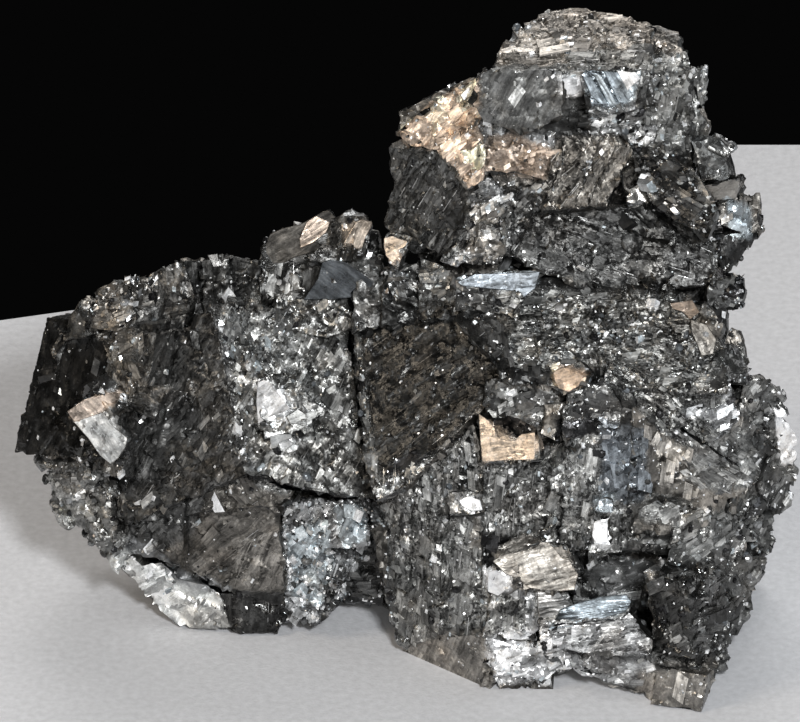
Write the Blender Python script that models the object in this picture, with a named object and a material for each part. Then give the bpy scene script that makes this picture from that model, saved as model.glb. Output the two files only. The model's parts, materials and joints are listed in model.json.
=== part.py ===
"""Arsenopyrite specimen: one cluster of intergrown crystals, 118 mm wide, standing on its broken base.

The big crystals are laid out on a drawing that looks down on the cluster's showing side at 30 degrees.
A drawing point is (across, up, back) in millimetres. Across and up lie on the sheet. Back is how far the
point lies behind the sheet's zero line, along +Y. Across 0, up 0, back 0 is a point of the ground.
"""

import math
import random

import bmesh
import bpy
from mathutils import Euler, Matrix, Vector
from mathutils.bvhtree import BVHTree

MM = 0.001
# How steeply the drawing looks down, and the middle of the cluster's box on the drawing, in millimetres.
DRAWING_PITCH = math.radians(30)
SHEET_CENTRE = Vector((0.75, 1.32, 0.0))
# The mineral's own angle between the sides of a crystal.
RHOMB_ANGLE = math.radians(68)
# How much of its outline a plate keeps at its root.
PLATE_TAPER = 0.8
# A small crystal's tip: the slopes of its two faces, how far off the middle they start, how flat it is.
TIP_SLOPES = (math.radians(8), math.radians(38))
TIP_OFFSET = 0.15
TIP_FLATNESS = 0.8
# How unevenly small crystals lean and turn, as standard deviations.
DRUSE_TILT = 0.1
DRUSE_SPIN = 0.35
# A face that turns further from the line of sight than this bears no small crystal.
GRAZING = -0.5
# Corners closer than this are one.
CLOSEST = 0.01 * MM
CUTTER_SIZE = 300 * MM
SEED = 11


def place(across, up, back):
    """The point of the drawing in the part's frame, in metres."""
    height = (up - back * math.sin(DRAWING_PITCH)) / math.cos(DRAWING_PITCH)
    return (Vector((across, back, height)) - SHEET_CENTRE) * MM


def step(across, up, back):
    """A direction of the drawing in the part's frame, in metres."""
    return place(across, up, back) - place(0, 0, 0)


# ---------------------------------------------------------------- crystals laid out by hand
# A block is a crystal with three pairs of parallel faces: its nearest corner and the edges from it.
BLOCKS = [
    dict(name="left slab", at=(-42, 23, -13), edges=[(-16.3, 1, 15), (5, 20.5, 9), (9, 2, 16)]),
    dict(name="left slab step", at=(-42, 20.5, -12), edges=[(-13, 1.5, 13), (4, 16, 7), (8, 2, 16)]),
    dict(name="left slab rib", at=(-38.5, 30, -12), edges=[(-6, 1.5, 4), (2, 12, 6), (6, 1, 10)]),
    dict(name="left knob", at=(-43, 10, -9), edges=[(-9.5, 5, 9), (-1, 11.5, 2), (8, 1, 18)]),
    dict(name="left lump", at=(-42.5, 6.3, -7), edges=[(-5, 5.2, 5), (1.5, 7, 0), (5, 1, 14)]),
    dict(name="bright tab", at=(-43.5, 22.5, -17), edges=[(-6, 7.6, 1), (3.2, 3.8, 4), (3, 2, 12)]),
    dict(name="tarnished tab", at=(-45.6, 30, -14), edges=[(-2.2, 2, 0), (5, 2.2, 3), (2, 0, 10)]),
    dict(name="dark wedge", at=(-33, 7, -11), edges=[(-9.5, 3, 7), (0.5, 10, -1), (5, 0, 18)]),
    dict(name="notch block", at=(-2.5, 0.8, -6), edges=[(-7.5, 1.2, 5), (-1, 15, -3), (6, 0, 18)]),
    dict(name="right square", at=(49.6, 65.4, -2), edges=[(-4.4, -0.5, -2), (-1.6, 6, 2), (1, 0.2, 8)]),
    dict(name="right brown", at=(50.5, 62.3, -3), edges=[(-6, -1.2, -2), (0.4, 3, -1), (0.8, 0.6, 9)]),
    dict(name="right bright", at=(52, 57.2, -3), edges=[(-4.2, 1, -1), (-0.8, 5, 1.5), (1.2, 0, 9)]),
    dict(name="right cube", at=(50.2, 46, -8), edges=[(-4.4, -0.4, -2), (0.4, 4.2, 0), (0, 0.5, 9)]),
    dict(name="right lower cube", at=(49, 41.5, -8), edges=[(-4, 0, -2), (0, 4.5, 0), (0, 0, 9)]),
    dict(name="leaning block", at=(52.2, 34.5, -10),
         edges=[(-4.5, 1, -4), (-1.8, 5.6, 2), (0.4, 0.4, 10)]),
    dict(name="right shoulder", at=(49, 34, -9), edges=[(-12, -3, -8), (6.5, -9, 6), (0, 6, 14)]),
    dict(name="dark front block", at=(44, -7, -30), edges=[(-6, 2, 5), (-1, 12, 2), (5.5, 2.5, 8)]),
    dict(name="corner foot", at=(45.3, -14.8, -30),
         edges=[(-7.5, 1.2, 2), (0.8, 5.5, 0.5), (1.6, 1.5, 10)]),
]

# A plate is a crystal whose showing face has its own outline on the sheet. back is where the outline's
# first point lies, lean how fast the face goes back per millimetre across and per millimetre up, and
# depth the edge from the face into the cluster.
PLATES = [
    # left arm, from its left end to the notch
    dict(name="ridge west", outline=[(-50.4, 41), (-49.7, 45.1), (-48, 47.1), (-46.4, 46.5), (-45.5, 42)],
         back=3, lean=(-0.3, 0.5), depth=(1, 1, 12)),
    dict(name="ridge knob",
         outline=[(-46.6, 43), (-45.5, 48.7), (-43.6, 50), (-41, 50.2), (-39.5, 46), (-40.5, 42)],
         back=-1, lean=(-0.3, 0.6), depth=(1, 0, 14)),
    dict(name="ridge tooth",
         outline=[(-41.6, 44), (-41, 48.5), (-39.3, 50.3), (-37.4, 50.4), (-36.5, 46), (-38, 42)],
         back=1, lean=(0.3, 0.5), depth=(1, 0, 14)),
    dict(name="ridge middle",
         outline=[(-38.6, 42), (-37.7, 50.6), (-36, 51.7), (-32.6, 53), (-30.8, 48), (-33, 42)],
         back=3, lean=(-0.2, 0.5), depth=(1, 0, 16)),
    dict(name="ridge column one", outline=[(-33, 45), (-32.6, 53), (-29.6, 53.2), (-29.3, 45)],
         back=7, lean=(0.4, 0.3), depth=(0, 0, 16)),
    dict(name="ridge column two", outline=[(-29.5, 45), (-29.7, 52.9), (-25.4, 53.6), (-25, 45)],
         back=6, lean=(0.1, 0.3), depth=(0, 0, 17)),
    dict(name="ridge column three", outline=[(-25.5, 45), (-25.5, 53.4), (-21.2, 52.9), (-20.8, 45)],
         back=8, lean=(-0.3, 0.3), depth=(0, 0, 16)),
    dict(name="left heart shade",
         outline=[(-23, 21), (-41.5, 13), (-42.3, 22), (-39.2, 33), (-33.3, 42), (-28.5, 46.7)],
         back=-18, lean=(-0.59, 0.49), depth=(4, 0, 16)),
    dict(name="left heart",
         outline=[(-23, 21), (-28.5, 46.7), (-22, 45.6), (-12, 46.6), (-7.6, 44.5), (-7.4, 38),
                  (-6.4, 32), (-5.6, 25), (-3.6, 17.2), (-14, 18.6)],
         back=-18, lean=(0.27, 0.7), depth=(-2, -3, 16)),
    dict(name="heart step", outline=[(-21, 33), (-20.5, 26), (-13, 27.5), (-14, 34.5)],
         back=-12.5, lean=(0.1, 0.6), depth=(0, -1, 8)),
    dict(name="heart chip", outline=[(-23.5, 39.5), (-22.5, 35), (-17, 37), (-18.5, 42)],
         back=-8.4, lean=(0.5, 0.6), depth=(0, -1, 8)),
    dict(name="left foot",
         outline=[(-42.6, 11), (-34.5, 8), (-28, 4), (-17.3, 0.6), (-18.5, 16.8), (-30, 15.6),
                  (-40.5, 14)],
         back=-5, lean=(-0.3, -0.25), depth=(3, 0, 22)),
    dict(name="foot roof",
         outline=[(-40, 13.5), (-30, 15), (-18.3, 16.4), (-16, 18.5), (-23, 21.2), (-33, 17.5)],
         back=-9, lean=(-0.3, 0.3), depth=(2, 0, 16)),
    dict(name="white skirt",
         outline=[(-43.5, 8.6), (-41.5, 10), (-39, 7), (-36, 7.6), (-33.5, 5), (-29, 3.8), (-27.3, 3),
                  (-25.9, -1.6), (-27.6, -3), (-33, -1.6), (-36.5, 0), (-39, 3), (-42.5, 6.8)],
         back=-2, lean=(-0.29, 0.0), depth=(4, 1, 16)),
    dict(name="black crystal",
         outline=[(-27.2, 3), (-27, -2.6), (-24.8, -2.9), (-18.6, -3.4), (-17.6, 1.5)],
         back=-6, lean=(-0.05, 0.2), depth=(2, 0.5, 14)),
    dict(name="sparkling foot",
         outline=[(-18.4, -1.5), (-13.2, -2.1), (-11.6, -0.6), (-11.2, 14), (-12.5, 17.5), (-17.6, 16)],
         back=-6, lean=(-0.5, -0.25), depth=(5, 2, 14)),
    dict(name="foot facet", outline=[(-12, 10), (-11.6, 16.5), (-5, 17.5), (-4.4, 10)],
         back=-13, lean=(0.1, 0.1), depth=(1, 0, 12)),
    # the crystals behind the saddle between the arms
    dict(name="back wedge",
         outline=[(-21.3, 52.5), (-19.8, 57), (-14.4, 58.6), (-12.2, 59), (-10.2, 49), (-17, 46.6),
                  (-20.7, 47)],
         back=8, lean=(0.2, 0.4), depth=(0, -1, 16)),
    dict(name="wedge crest", outline=[(-14.7, 57), (-14, 58.8), (-10.6, 60.5), (-9.8, 59), (-10, 54)],
         back=8, lean=(0.0, 0.5), depth=(0, 0, 9)),
    dict(name="tooth one", outline=[(-9.8, 54), (-9.3, 58.9), (-7.5, 58.7), (-8.2, 53.5)],
         back=4, lean=(0.2, 0.5), depth=(0.3, 0, 10)),
    dict(name="tooth two", outline=[(-7.1, 54), (-5.9, 58.9), (-4.3, 58.7), (-5.2, 53.5)],
         back=3, lean=(-0.2, 0.5), depth=(0.3, 0, 10)),
    dict(name="tooth three", outline=[(-8.8, 53), (-7.6, 58), (-3.2, 57.6), (-2.4, 52)],
         back=6, lean=(0.1, 0.4), depth=(0, -1, 12)),
    dict(name="blue facet",
         outline=[(-12.4, 54.5), (-10.4, 49.6), (-3.4, 50), (-2.6, 54), (-5, 55), (-9, 55.2)],
         back=3, lean=(0.1, 0.6), depth=(0, -2, 14)),
    dict(name="dark step",
         outline=[(-20.8, 43.5), (-19, 46.8), (-10, 48.4), (-7.3, 48.2), (-6.8, 43), (-11, 41.5)],
         back=0, lean=(-0.1, 0.8), depth=(0, -2, 12)),
    dict(name="saddle post", outline=[(-7.2, 42), (-6.8, 50), (-2.4, 50.8), (-2.6, 43)],
         back=-6, lean=(0.1, 0.6), depth=(0, -1, 14)),
    dict(name="saddle post two", outline=[(-2.8, 43), (-2.4, 52), (3.4, 52.8), (3, 44)],
         back=-7, lean=(0.2, 0.7), depth=(0, -1, 16)),
    dict(name="saddle post three", outline=[(2.6, 44), (3, 53.5), (8.6, 51), (8.6, 45)],
         back=-7, lean=(-0.2, 0.6), depth=(0, -1, 16)),
    dict(name="saddle tab",
         outline=[(-2.4, 56.6), (-1.8, 53), (-0.3, 51), (0.9, 54.5), (2, 56.5), (0, 57.5), (-1, 57.7)],
         back=-1.5, lean=(-0.3, 0.6), depth=(0, -1, 9)),
    # the big dark rhomb and the columns under it
    dict(name="dark rhomb",
         outline=[(-3.5, 17), (0.5, 18.5), (16.5, 35), (8.7, 46.3), (-1, 45.6), (-7, 43.6), (-5.5, 23)],
         back=-24, lean=(-0.25, 0.75), depth=(3, -2, 24)),
    dict(name="column one",
         outline=[(-3, 10), (-3.2, 17.5), (0.5, 18.3), (6.3, 24), (6, -4.5), (0, -5.4), (-2, 2)],
         back=-12, lean=(-0.7, -0.1), depth=(6, 0, 20)),
    dict(name="column slat", outline=[(-0.8, 4), (-1.2, 18.2), (1.6, 19.5), (1.4, 3)],
         back=-15.5, lean=(-0.3, -0.1), depth=(2, 0, 10)),
    dict(name="column two", outline=[(6, -4.5), (6.3, 24), (11, 28.5), (12.7, 23), (12.4, -3.6)],
         back=-18, lean=(-0.35, 0.08), depth=(2, 0, 22)),
    dict(name="column chip", outline=[(7.6, 18), (7.4, 14.6), (12.3, 15), (12, 18.3)],
         back=-21, lean=(-0.2, 0.4), depth=(1, 0, 8)),
    dict(name="centre shadow",
         outline=[(12, -3.5), (20.5, -4.5), (22.5, 4), (25, 10), (24.6, 25.2), (12.6, 25.6)],
         back=-21, lean=(0.15, 0.05), depth=(-2, 0, 22)),
    dict(name="bronze tile", outline=[(12.5, 22.4), (21, 23.4), (20.6, 28.3), (16, 30), (11.7, 29.4)],
         back=-24, lean=(-0.44, 0.62), depth=(2, 1, 14)),
    dict(name="fan",
         outline=[(14, 5), (20, 3.5), (24, 3.5), (27.4, 6.5), (25.5, 9.4), (20.5, 10.4), (15.5, 8.7)],
         back=-23.5, lean=(-0.1, 0.35), depth=(1, 1, 12)),
    dict(name="fan seat", outline=[(12.6, -3.4), (20.6, -4.2), (21, 3.6), (14, 4.6)],
         back=-23, lean=(-0.1, 0.1), depth=(0, 1, 14)),
    # the foot of the showing side
    dict(name="bright ledge",
         outline=[(20.4, 3.6), (24.7, 3.7), (26, 1.4), (35, 2.5), (34.4, 0), (33, -0.9), (20.8, -1.6)],
         back=-21.5, lean=(0.1, 1.5), depth=(0, -5, 4)),
    dict(name="bright ledge front",
         outline=[(20.8, -1.6), (33, -0.9), (34.4, 0), (38.3, -4), (37.6, -6), (21.4, -5.6)],
         back=-29.2, lean=(0.1, 0.05), depth=(1, 1, 16)),
    dict(name="under ledge", outline=[(22, -6.5), (26.2, -8.2), (38, -10), (39, -5.6), (22, -5)],
         back=-26, lean=(0.0, -0.2), depth=(1, 3, 18)),
    dict(name="pale prow",
         outline=[(0.4, -5.8), (8.5, -10), (13.5, -11.8), (14.5, -7), (12, -3), (1, -4.6)],
         back=-11.6, lean=(-0.95, -0.2), depth=(8, 1, 16)),
    dict(name="white prow",
         outline=[(13.5, -9), (21.5, -11), (25.8, -8.4), (25.6, -5.6), (20, -4.6), (12.3, -3.3)],
         back=-24, lean=(0.05, 0.2), depth=(1, 3, 18)),
    dict(name="prow heel",
         outline=[(12.2, -11), (14.6, -10.6), (17, -11.5), (21, -12.3), (23, -12), (23.4, -9), (13, -8)],
         back=-23, lean=(0.0, -0.2), depth=(1, 2, 14)),
    dict(name="right heel",
         outline=[(26.4, -8.2), (29, -9.6), (32, -11.2), (36.6, -12.4), (38.5, -13.8), (39.5, -6),
                  (25.5, -6)],
         back=-24, lean=(-0.2, 0.0), depth=(1, 2, 16)),
    dict(name="dark face",
         outline=[(38.5, -8), (47, -9), (49, -3), (48.6, 5), (44, 7.7), (38.8, 6.6), (38, -2)],
         back=-26, lean=(0.35, 0.3), depth=(2, 0, 20)),
    # right of the middle
    dict(name="roof",
         outline=[(24, 10), (24.4, 24), (29.5, 34.5), (31, 37), (35, 33), (34.5, 20), (34, 12.4),
                  (27, 9)],
         back=-20.5, lean=(0.15, -0.1), depth=(2, -1, 20)),
    dict(name="roof east",
         outline=[(34, 12.4), (34.5, 20), (35, 33), (40, 29), (51, 22), (48.4, 14), (44.4, 15.2),
                  (38.6, 17.2)],
         back=-19, lean=(0.1, -0.08), depth=(1, -1, 20)),
    dict(name="dome",
         outline=[(24, 28), (25, 33), (27.6, 34.6), (31.5, 34.3), (33.3, 31), (33, 28), (29, 25.2),
                  (25, 25.4)],
         back=-25.5, lean=(0.1, 0.45), depth=(1, 0, 12)),
    dict(name="dome notch", outline=[(21, 27), (21.4, 31.6), (24.6, 31), (24, 26)],
         back=-23, lean=(0.1, 0.4), depth=(1, 0, 10)),
    dict(name="brown shelf", outline=[(34.2, 12.2), (36, 15.5), (38.7, 17.3), (44.7, 15.3), (42, 12)],
         back=-24, lean=(0.15, 0.4), depth=(1, 1, 12)),
    dict(name="white fleck", outline=[(29.2, 10.6), (29, 14.2), (31.4, 14.4), (31.6, 10.4)],
         back=-22, lean=(0.1, 0.3), depth=(0, 0, 6)),
    dict(name="blue fleck", outline=[(29.2, 15.4), (29.8, 17.4), (32, 17.2), (31.8, 15.2)],
         back=-22.4, lean=(0.1, 0.3), depth=(0, 0, 6)),
    dict(name="grey scales", outline=[(40, 7.5), (50, 5), (53, 12), (49, 17), (42, 15)],
         back=-23, lean=(0.55, 0.3), depth=(0, 1, 18)),
    dict(name="east slope",
         outline=[(44, 27), (51, 22), (49, 15), (53, 14), (57.5, 24), (52, 30), (47, 30)],
         back=-19, lean=(0.9, 0.25), depth=(-3, 0, 16)),
    # the terrace and the slope above it
    dict(name="terrace foot", outline=[(12.6, 35.4), (24.6, 35.4), (24.6, 29), (19, 28.4), (12.6, 30)],
         back=-18.6, lean=(-0.05, 0.22), depth=(0, 0, 24), taper=1),
    dict(name="terrace foot east", outline=[(34, 34.6), (42.4, 34.6), (42.8, 28), (39, 27.4), (34.6, 30)],
         back=-18.4, lean=(0.05, 0.3), depth=(0, 0, 18), taper=1),
    dict(name="rib head", outline=[(41.6, 34.6), (49.4, 34.8), (50.6, 29), (46.8, 25.6), (42, 28)],
         back=-16.4, lean=(0.15, 0.3), depth=(0, 0, 18), taper=1),
    dict(name="pocket roof",
         outline=[(28.4, 13.4), (42.2, 14), (42.2, 8), (36.4, 9.4), (31.6, 9), (28.4, 6.4)],
         back=-19.4, lean=(0.05, 0.1), depth=(0, 0, 22), taper=1),
    dict(name="pocket floor", outline=[(26, 9.6), (40, 10), (40, 0.6), (33.6, 0), (26, 1)],
         back=-13.6, lean=(0.05, -0.35), depth=(0, 0, 18), taper=1),
    dict(name="middle terrace",
         outline=[(8, 44.5), (12, 40), (17, 34.3), (30, 34.3), (49, 33), (48.6, 43), (41, 49.2),
                  (20, 50.6), (12, 47.5)],
         back=-13, lean=(0.05, 0.95), depth=(0, -4, 16)),
    dict(name="terrace step", outline=[(17, 40.5), (22, 38), (32, 39.5), (33, 45.5), (24, 47), (18, 45)],
         back=-14.6, lean=(-0.05, 0.8), depth=(0, -2, 9)),
    dict(name="terrace step east", outline=[(32, 36), (38, 34.5), (44, 37.5), (42, 43), (35, 44)],
         back=-19, lean=(0.1, 0.75), depth=(0, -2, 10)),
    dict(name="bronze scale", outline=[(23.5, 36.4), (24.4, 32.8), (27.4, 34), (28.8, 36.4), (27, 37.6)],
         back=-23, lean=(-0.44, 0.62), depth=(1, 0, 9)),
    dict(name="bronze wing",
         outline=[(40.1, 43.6), (45, 38.8), (48.5, 40), (46, 43.5), (45, 46.6), (40.3, 47.1)],
         back=-13, lean=(-0.3, 0.7), depth=(1, 0, 10)),
    dict(name="pale bead",
         outline=[(43.6, 31.6), (43.8, 35), (46, 36.8), (48.2, 35.6), (48.4, 32.4), (46.5, 30.8)],
         back=-17, lean=(0.2, 0.4), depth=(1, 0, 8)),
    dict(name="dark slope",
         outline=[(15, 54.5), (21, 51.3), (26, 49.4), (38, 48.4), (48, 49.5), (47.6, 57), (36, 61.8),
                  (23, 61.2), (16, 58)],
         back=-7, lean=(0.1, 0.5), depth=(0, -1, 18)),
    dict(name="round crystal one",
         outline=[(25.8, 53.2), (26.5, 54.9), (28.2, 55), (29.2, 53.6), (28.6, 51.8), (26.7, 51.6)],
         back=-7.5, lean=(0.1, 0.5), depth=(0, 0, 6)),
    dict(name="round crystal two",
         outline=[(33.4, 56.6), (34.6, 58), (36.4, 56.6), (36.8, 54.8), (35.4, 53.6), (33.8, 54.6)],
         back=-5.4, lean=(0.1, 0.5), depth=(0, 0, 6)),
    dict(name="bright blade",
         outline=[(8.4, 50.3), (12, 49.2), (16.8, 48.7), (18, 47.4), (21.2, 51.4), (15, 51.7)],
         back=-11, lean=(0.05, 0.8), depth=(0, -2, 9)),
    dict(name="blade seat", outline=[(8.2, 45.5), (17.6, 44.6), (18.6, 48), (16, 49.4), (8.5, 50)],
         back=-11.5, lean=(-0.15, 0.3), depth=(0, 1, 12)),
    # right arm's upper part
    dict(name="crown",
         outline=[(13.3, 81.5), (16, 86), (20, 89.5), (23, 91), (28, 91), (34, 89.8), (38, 88.6),
                  (37.5, 81.4), (25.5, 81.2)],
         back=-4.5, lean=(0.05, 1.85), depth=(-0.8, -14, 1.5)),
    dict(name="crown east",
         outline=[(35, 80), (36, 85.5), (38, 88.8), (42, 87.5), (42, 85), (43.3, 83.4), (43.6, 80),
                  (43, 78.5)],
         back=-2, lean=(0.3, 1.7), depth=(1.6, -15, 1)),
    dict(name="crown stripes",
         outline=[(27, 79.8), (27.8, 81.4), (35.8, 81.2), (35.2, 75.6), (31.5, 74.2), (28, 75)],
         back=-6.2, lean=(0.1, 0.25), depth=(0, 0, 12)),
    dict(name="crown grey face",
         outline=[(11.2, 76.5), (11.3, 80.4), (13.6, 81.7), (24.2, 81.2), (24.4, 74.3), (18.6, 72.2),
                  (12.4, 73.6)],
         back=-5.8, lean=(-0.1, 0.2), depth=(0.5, 0, 13)),
    dict(name="top right wall",
         outline=[(35, 67), (35.6, 82), (43.3, 83.4), (43.6, 79.8), (45.1, 76), (46.6, 73), (45, 67)],
         back=-2, lean=(0.35, 0.25), depth=(0, -1, 16)),
    dict(name="wall rib", outline=[(38, 66), (38.6, 79), (41.4, 79.4), (41, 66)],
         back=-3, lean=(0.2, 0.25), depth=(1, 0, 8)),
    dict(name="under crown", outline=[(24, 68), (24.4, 74), (28, 74.6), (35.4, 75.2), (35.8, 70)],
         back=-3, lean=(0.1, 0.3), depth=(0, 0, 14)),
    dict(name="bronze cheek",
         outline=[(0, 72.7), (1.3, 70), (5.5, 69.6), (10, 63.7), (12.7, 65), (12.7, 72), (11.4, 80.2),
                  (6, 77.3)],
         back=4, lean=(-0.5, 0.55), depth=(2, 0, 14)),
    dict(name="cheek back",
         outline=[(-0.4, 72), (0, 75.4), (7, 78.9), (11.2, 80.5), (13, 82.2), (14, 76), (8, 70)],
         back=10, lean=(-0.3, 0.4), depth=(1, 0, 12)),
    dict(name="bronze brow",
         outline=[(12.5, 66.3), (17, 66), (22, 65.2), (24.2, 66.8), (24.4, 71), (21, 73), (12.5, 73.5)],
         back=-5, lean=(-0.3, 0.4), depth=(0, 0, 14)),
    dict(name="left cheek",
         outline=[(-1.6, 70), (-1, 64), (-2.6, 58.5), (0, 56.2), (6, 54), (10.5, 58), (10.2, 63.4),
                  (5.8, 69.8), (1, 72)],
         back=6, lean=(-0.8, 0.25), depth=(3, 0, 14)),
    dict(name="under cheek",
         outline=[(6, 53), (15, 52), (17, 58), (17.5, 62), (12, 66.8), (9.5, 63.6), (9.9, 58)],
         back=-6, lean=(-0.2, 0.4), depth=(1, 0, 16)),
    dict(name="cheek chip", outline=[(11.6, 55.8), (11.8, 58.6), (15, 59), (15.3, 55.6)],
         back=-8, lean=(-0.1, 0.4), depth=(0, 0, 7)),
    dict(name="throat", outline=[(15, 56), (22, 60), (24, 66.5), (13, 67), (16.5, 61)],
         back=-5, lean=(0.1, 0.3), depth=(1, 0, 16)),
    dict(name="grooved face",
         outline=[(21, 60.4), (31, 61), (34.8, 69.4), (33, 72), (25, 71.7), (23.5, 66)],
         back=-5.5, lean=(-0.2, 0.4), depth=(1, 0, 16)),
    dict(name="grooved rib", outline=[(26, 61), (28, 61), (32.5, 70.8), (30, 71.6)],
         back=-7, lean=(-0.2, 0.45), depth=(1, 0, 8)),
    dict(name="sparkling wedge",
         outline=[(34.3, 70.2), (37.5, 61.6), (46, 56), (47.6, 60.5), (45, 65), (39, 70)],
         back=-2, lean=(-0.2, 0.8), depth=(1, -1, 14)),
    dict(name="small bright", outline=[(33.6, 61.6), (37.5, 61.4), (35.6, 64.4), (34, 63.6)],
         back=-7, lean=(0.05, 0.5), depth=(1, 0, 8)),
    dict(name="small bright two", outline=[(33.6, 70.2), (35, 71.8), (38.4, 71.4), (37, 69.8)],
         back=-3.5, lean=(0.05, 0.8), depth=(0, -1, 7)),
    dict(name="right leaf", outline=[(51, 57), (51.4, 62), (54, 60.8), (54.2, 57)],
         back=0, lean=(0.4, 0.2), depth=(0, 0, 7)),
    dict(name="right bead",
         outline=[(48, 50.5), (47.5, 57), (52.6, 57.5), (53.8, 56.8), (52.4, 54.3), (50.2, 52)],
         back=-5, lean=(0.5, 0.3), depth=(-3, 1, 11)),
    # right edge
    dict(name="edge knob",
         outline=[(50.5, 30.5), (51.6, 35), (54, 35.4), (57, 34.1), (58.3, 32.3), (57, 30)],
         back=-8, lean=(0.4, 0.3), depth=(-4, 2, 11)),
    dict(name="edge beak",
         outline=[(52, 30.5), (57, 30.2), (59.4, 27.2), (59.8, 24), (59.4, 20.6), (52, 21)],
         back=-7, lean=(0.5, 0.1), depth=(-5, 2, 12)),
    dict(name="edge tile", outline=[(51.6, 21), (59.2, 20.6), (58.7, 16.3), (57.6, 15), (51.8, 14.4)],
         back=-9, lean=(0.4, 0.2), depth=(-4, 4, 13)),
    dict(name="edge low tile",
         outline=[(50, 15), (56.4, 14.8), (56, 13), (56.6, 10.6), (54.8, 8), (50, 7)],
         back=-13, lean=(0.5, 0.0), depth=(-3, 4, 14)),
    dict(name="edge low knob",
         outline=[(48.6, 8), (54.9, 8), (54, 5), (53, 2.3), (53, -0.5), (51, -3.4), (48, -4)],
         back=-18, lean=(0.5, -0.2), depth=(-3, 5, 16)),
    dict(name="edge foot", outline=[(45, -3), (49.2, -4.4), (49.6, -8.5), (46.2, -10.5), (44, -8)],
         back=-24, lean=(0.5, -0.2), depth=(-2, 5, 14)),
]

# A prism is a crystal of the hidden back and sides, in the part's own frame: its middle, its size and
# its turns about X, Y and Z in degrees.
PRISMS = [
    dict(name="right root", middle=(27, 3, 20), size=(36, 22, 38), turn=(4, 2, 6)),
    dict(name="right trunk", middle=(27, 9, 60), size=(27, 14, 52), turn=(3, 3, 8)),
    dict(name="left root", middle=(-24, 7, 27), size=(30, 18, 24), turn=(0, 8, 8)),
    dict(name="middle root", middle=(-3, 5, 28), size=(24, 16, 32), turn=(-6, 4, -12)),
    dict(name="back tall", middle=(31, 13, 66), size=(17, 15, 38), turn=(-7, 5, 22)),
    dict(name="back tall middle", middle=(21, 14, 58), size=(14, 17, 34), turn=(9, -7, -18)),
    dict(name="back tall west", middle=(10, 13, 62), size=(13, 15, 24), turn=(-12, -14, 12)),
    dict(name="back neck", middle=(27, 17, 44), size=(22, 14, 20), turn=(14, 10, -8)),
    dict(name="back foot east", middle=(35, 14, 20), size=(17, 19, 35), turn=(-5, 8, -24)),
    dict(name="back foot", middle=(20, 17, 14), size=(20, 19, 28), turn=(10, -8, 14)),
    dict(name="back foot middle", middle=(6, 16, 24), size=(17, 19, 30), turn=(-8, 12, -30)),
    dict(name="back foot west", middle=(-9, 13, 14), size=(19, 18, 26), turn=(-10, 7, -18)),
    dict(name="back saddle", middle=(-3, 13, 38), size=(15, 15, 18), turn=(14, 18, 30)),
    dict(name="back left", middle=(-22, 14, 34), size=(20, 15, 17), turn=(12, -14, 18)),
    dict(name="back left end", middle=(-42, 9, 28), size=(15, 15, 17), turn=(-12, 24, -26)),
    dict(name="back ridge", middle=(-34, 10, 41), size=(13, 11, 12), turn=(22, 8, 24)),
    dict(name="back ridge east", middle=(-24, 12, 43), size=(12, 11, 11), turn=(26, -12, -16)),
    dict(name="back left slope", middle=(-35, 11, 24), size=(17, 15, 17), turn=(20, -12, 40)),
    dict(name="back left low", middle=(-25, 9, 13), size=(19, 15, 20), turn=(6, 16, 33)),
    dict(name="back chip one", middle=(27, 22, 52), size=(12, 8, 14), turn=(18, 26, 14)),
    dict(name="back chip two", middle=(38, 17, 50), size=(10, 12, 13), turn=(-12, -20, 36)),
    dict(name="back chip three", middle=(15, 22, 36), size=(13, 9, 12), turn=(-16, 14, -22)),
    dict(name="back chip four", middle=(29, 24, 26), size=(15, 8, 16), turn=(10, -24, 8)),
    dict(name="back chip five", middle=(42, 20, 10), size=(13, 12, 15), turn=(-18, 12, 28)),
    dict(name="back chip six", middle=(12, 25, 9), size=(14, 10, 14), turn=(14, 22, -12)),
    dict(name="back chip seven", middle=(-4, 22, 24), size=(12, 9, 13), turn=(-10, -28, 18)),
    dict(name="back chip eight", middle=(-17, 20, 22), size=(13, 10, 14), turn=(20, 12, -34)),
    dict(name="back chip nine", middle=(-32, 16, 31), size=(12, 10, 11), turn=(-22, 16, 12)),
    dict(name="back chip ten", middle=(24, 19, 72), size=(11, 8, 13), turn=(-14, -18, 26)),
    dict(name="side shelf", middle=(38, 4, 38), size=(12, 17, 18), turn=(9, -12, 14)),
    dict(name="side block", middle=(41, 7, 58), size=(11, 15, 19), turn=(-8, 9, 25)),
    dict(name="side foot", middle=(46, 0, 12), size=(11, 19, 21), turn=(5, 8, -16)),
    dict(name="side low", middle=(45, 3, 26), size=(11, 13, 12), turn=(-14, 10, 30)),
    dict(name="side high", middle=(38, 7, 76), size=(10, 14, 16), turn=(8, -10, 18)),
    dict(name="west cheek side", middle=(8, 9, 71), size=(10, 14, 14), turn=(12, 16, -10)),
    dict(name="notch side", middle=(2, -2, 16), size=(12, 16, 20), turn=(6, -14, 22)),
    dict(name="arm under", middle=(-36, 3, 17), size=(16, 14, 12), turn=(-16, 26, 10)),
]

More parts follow.
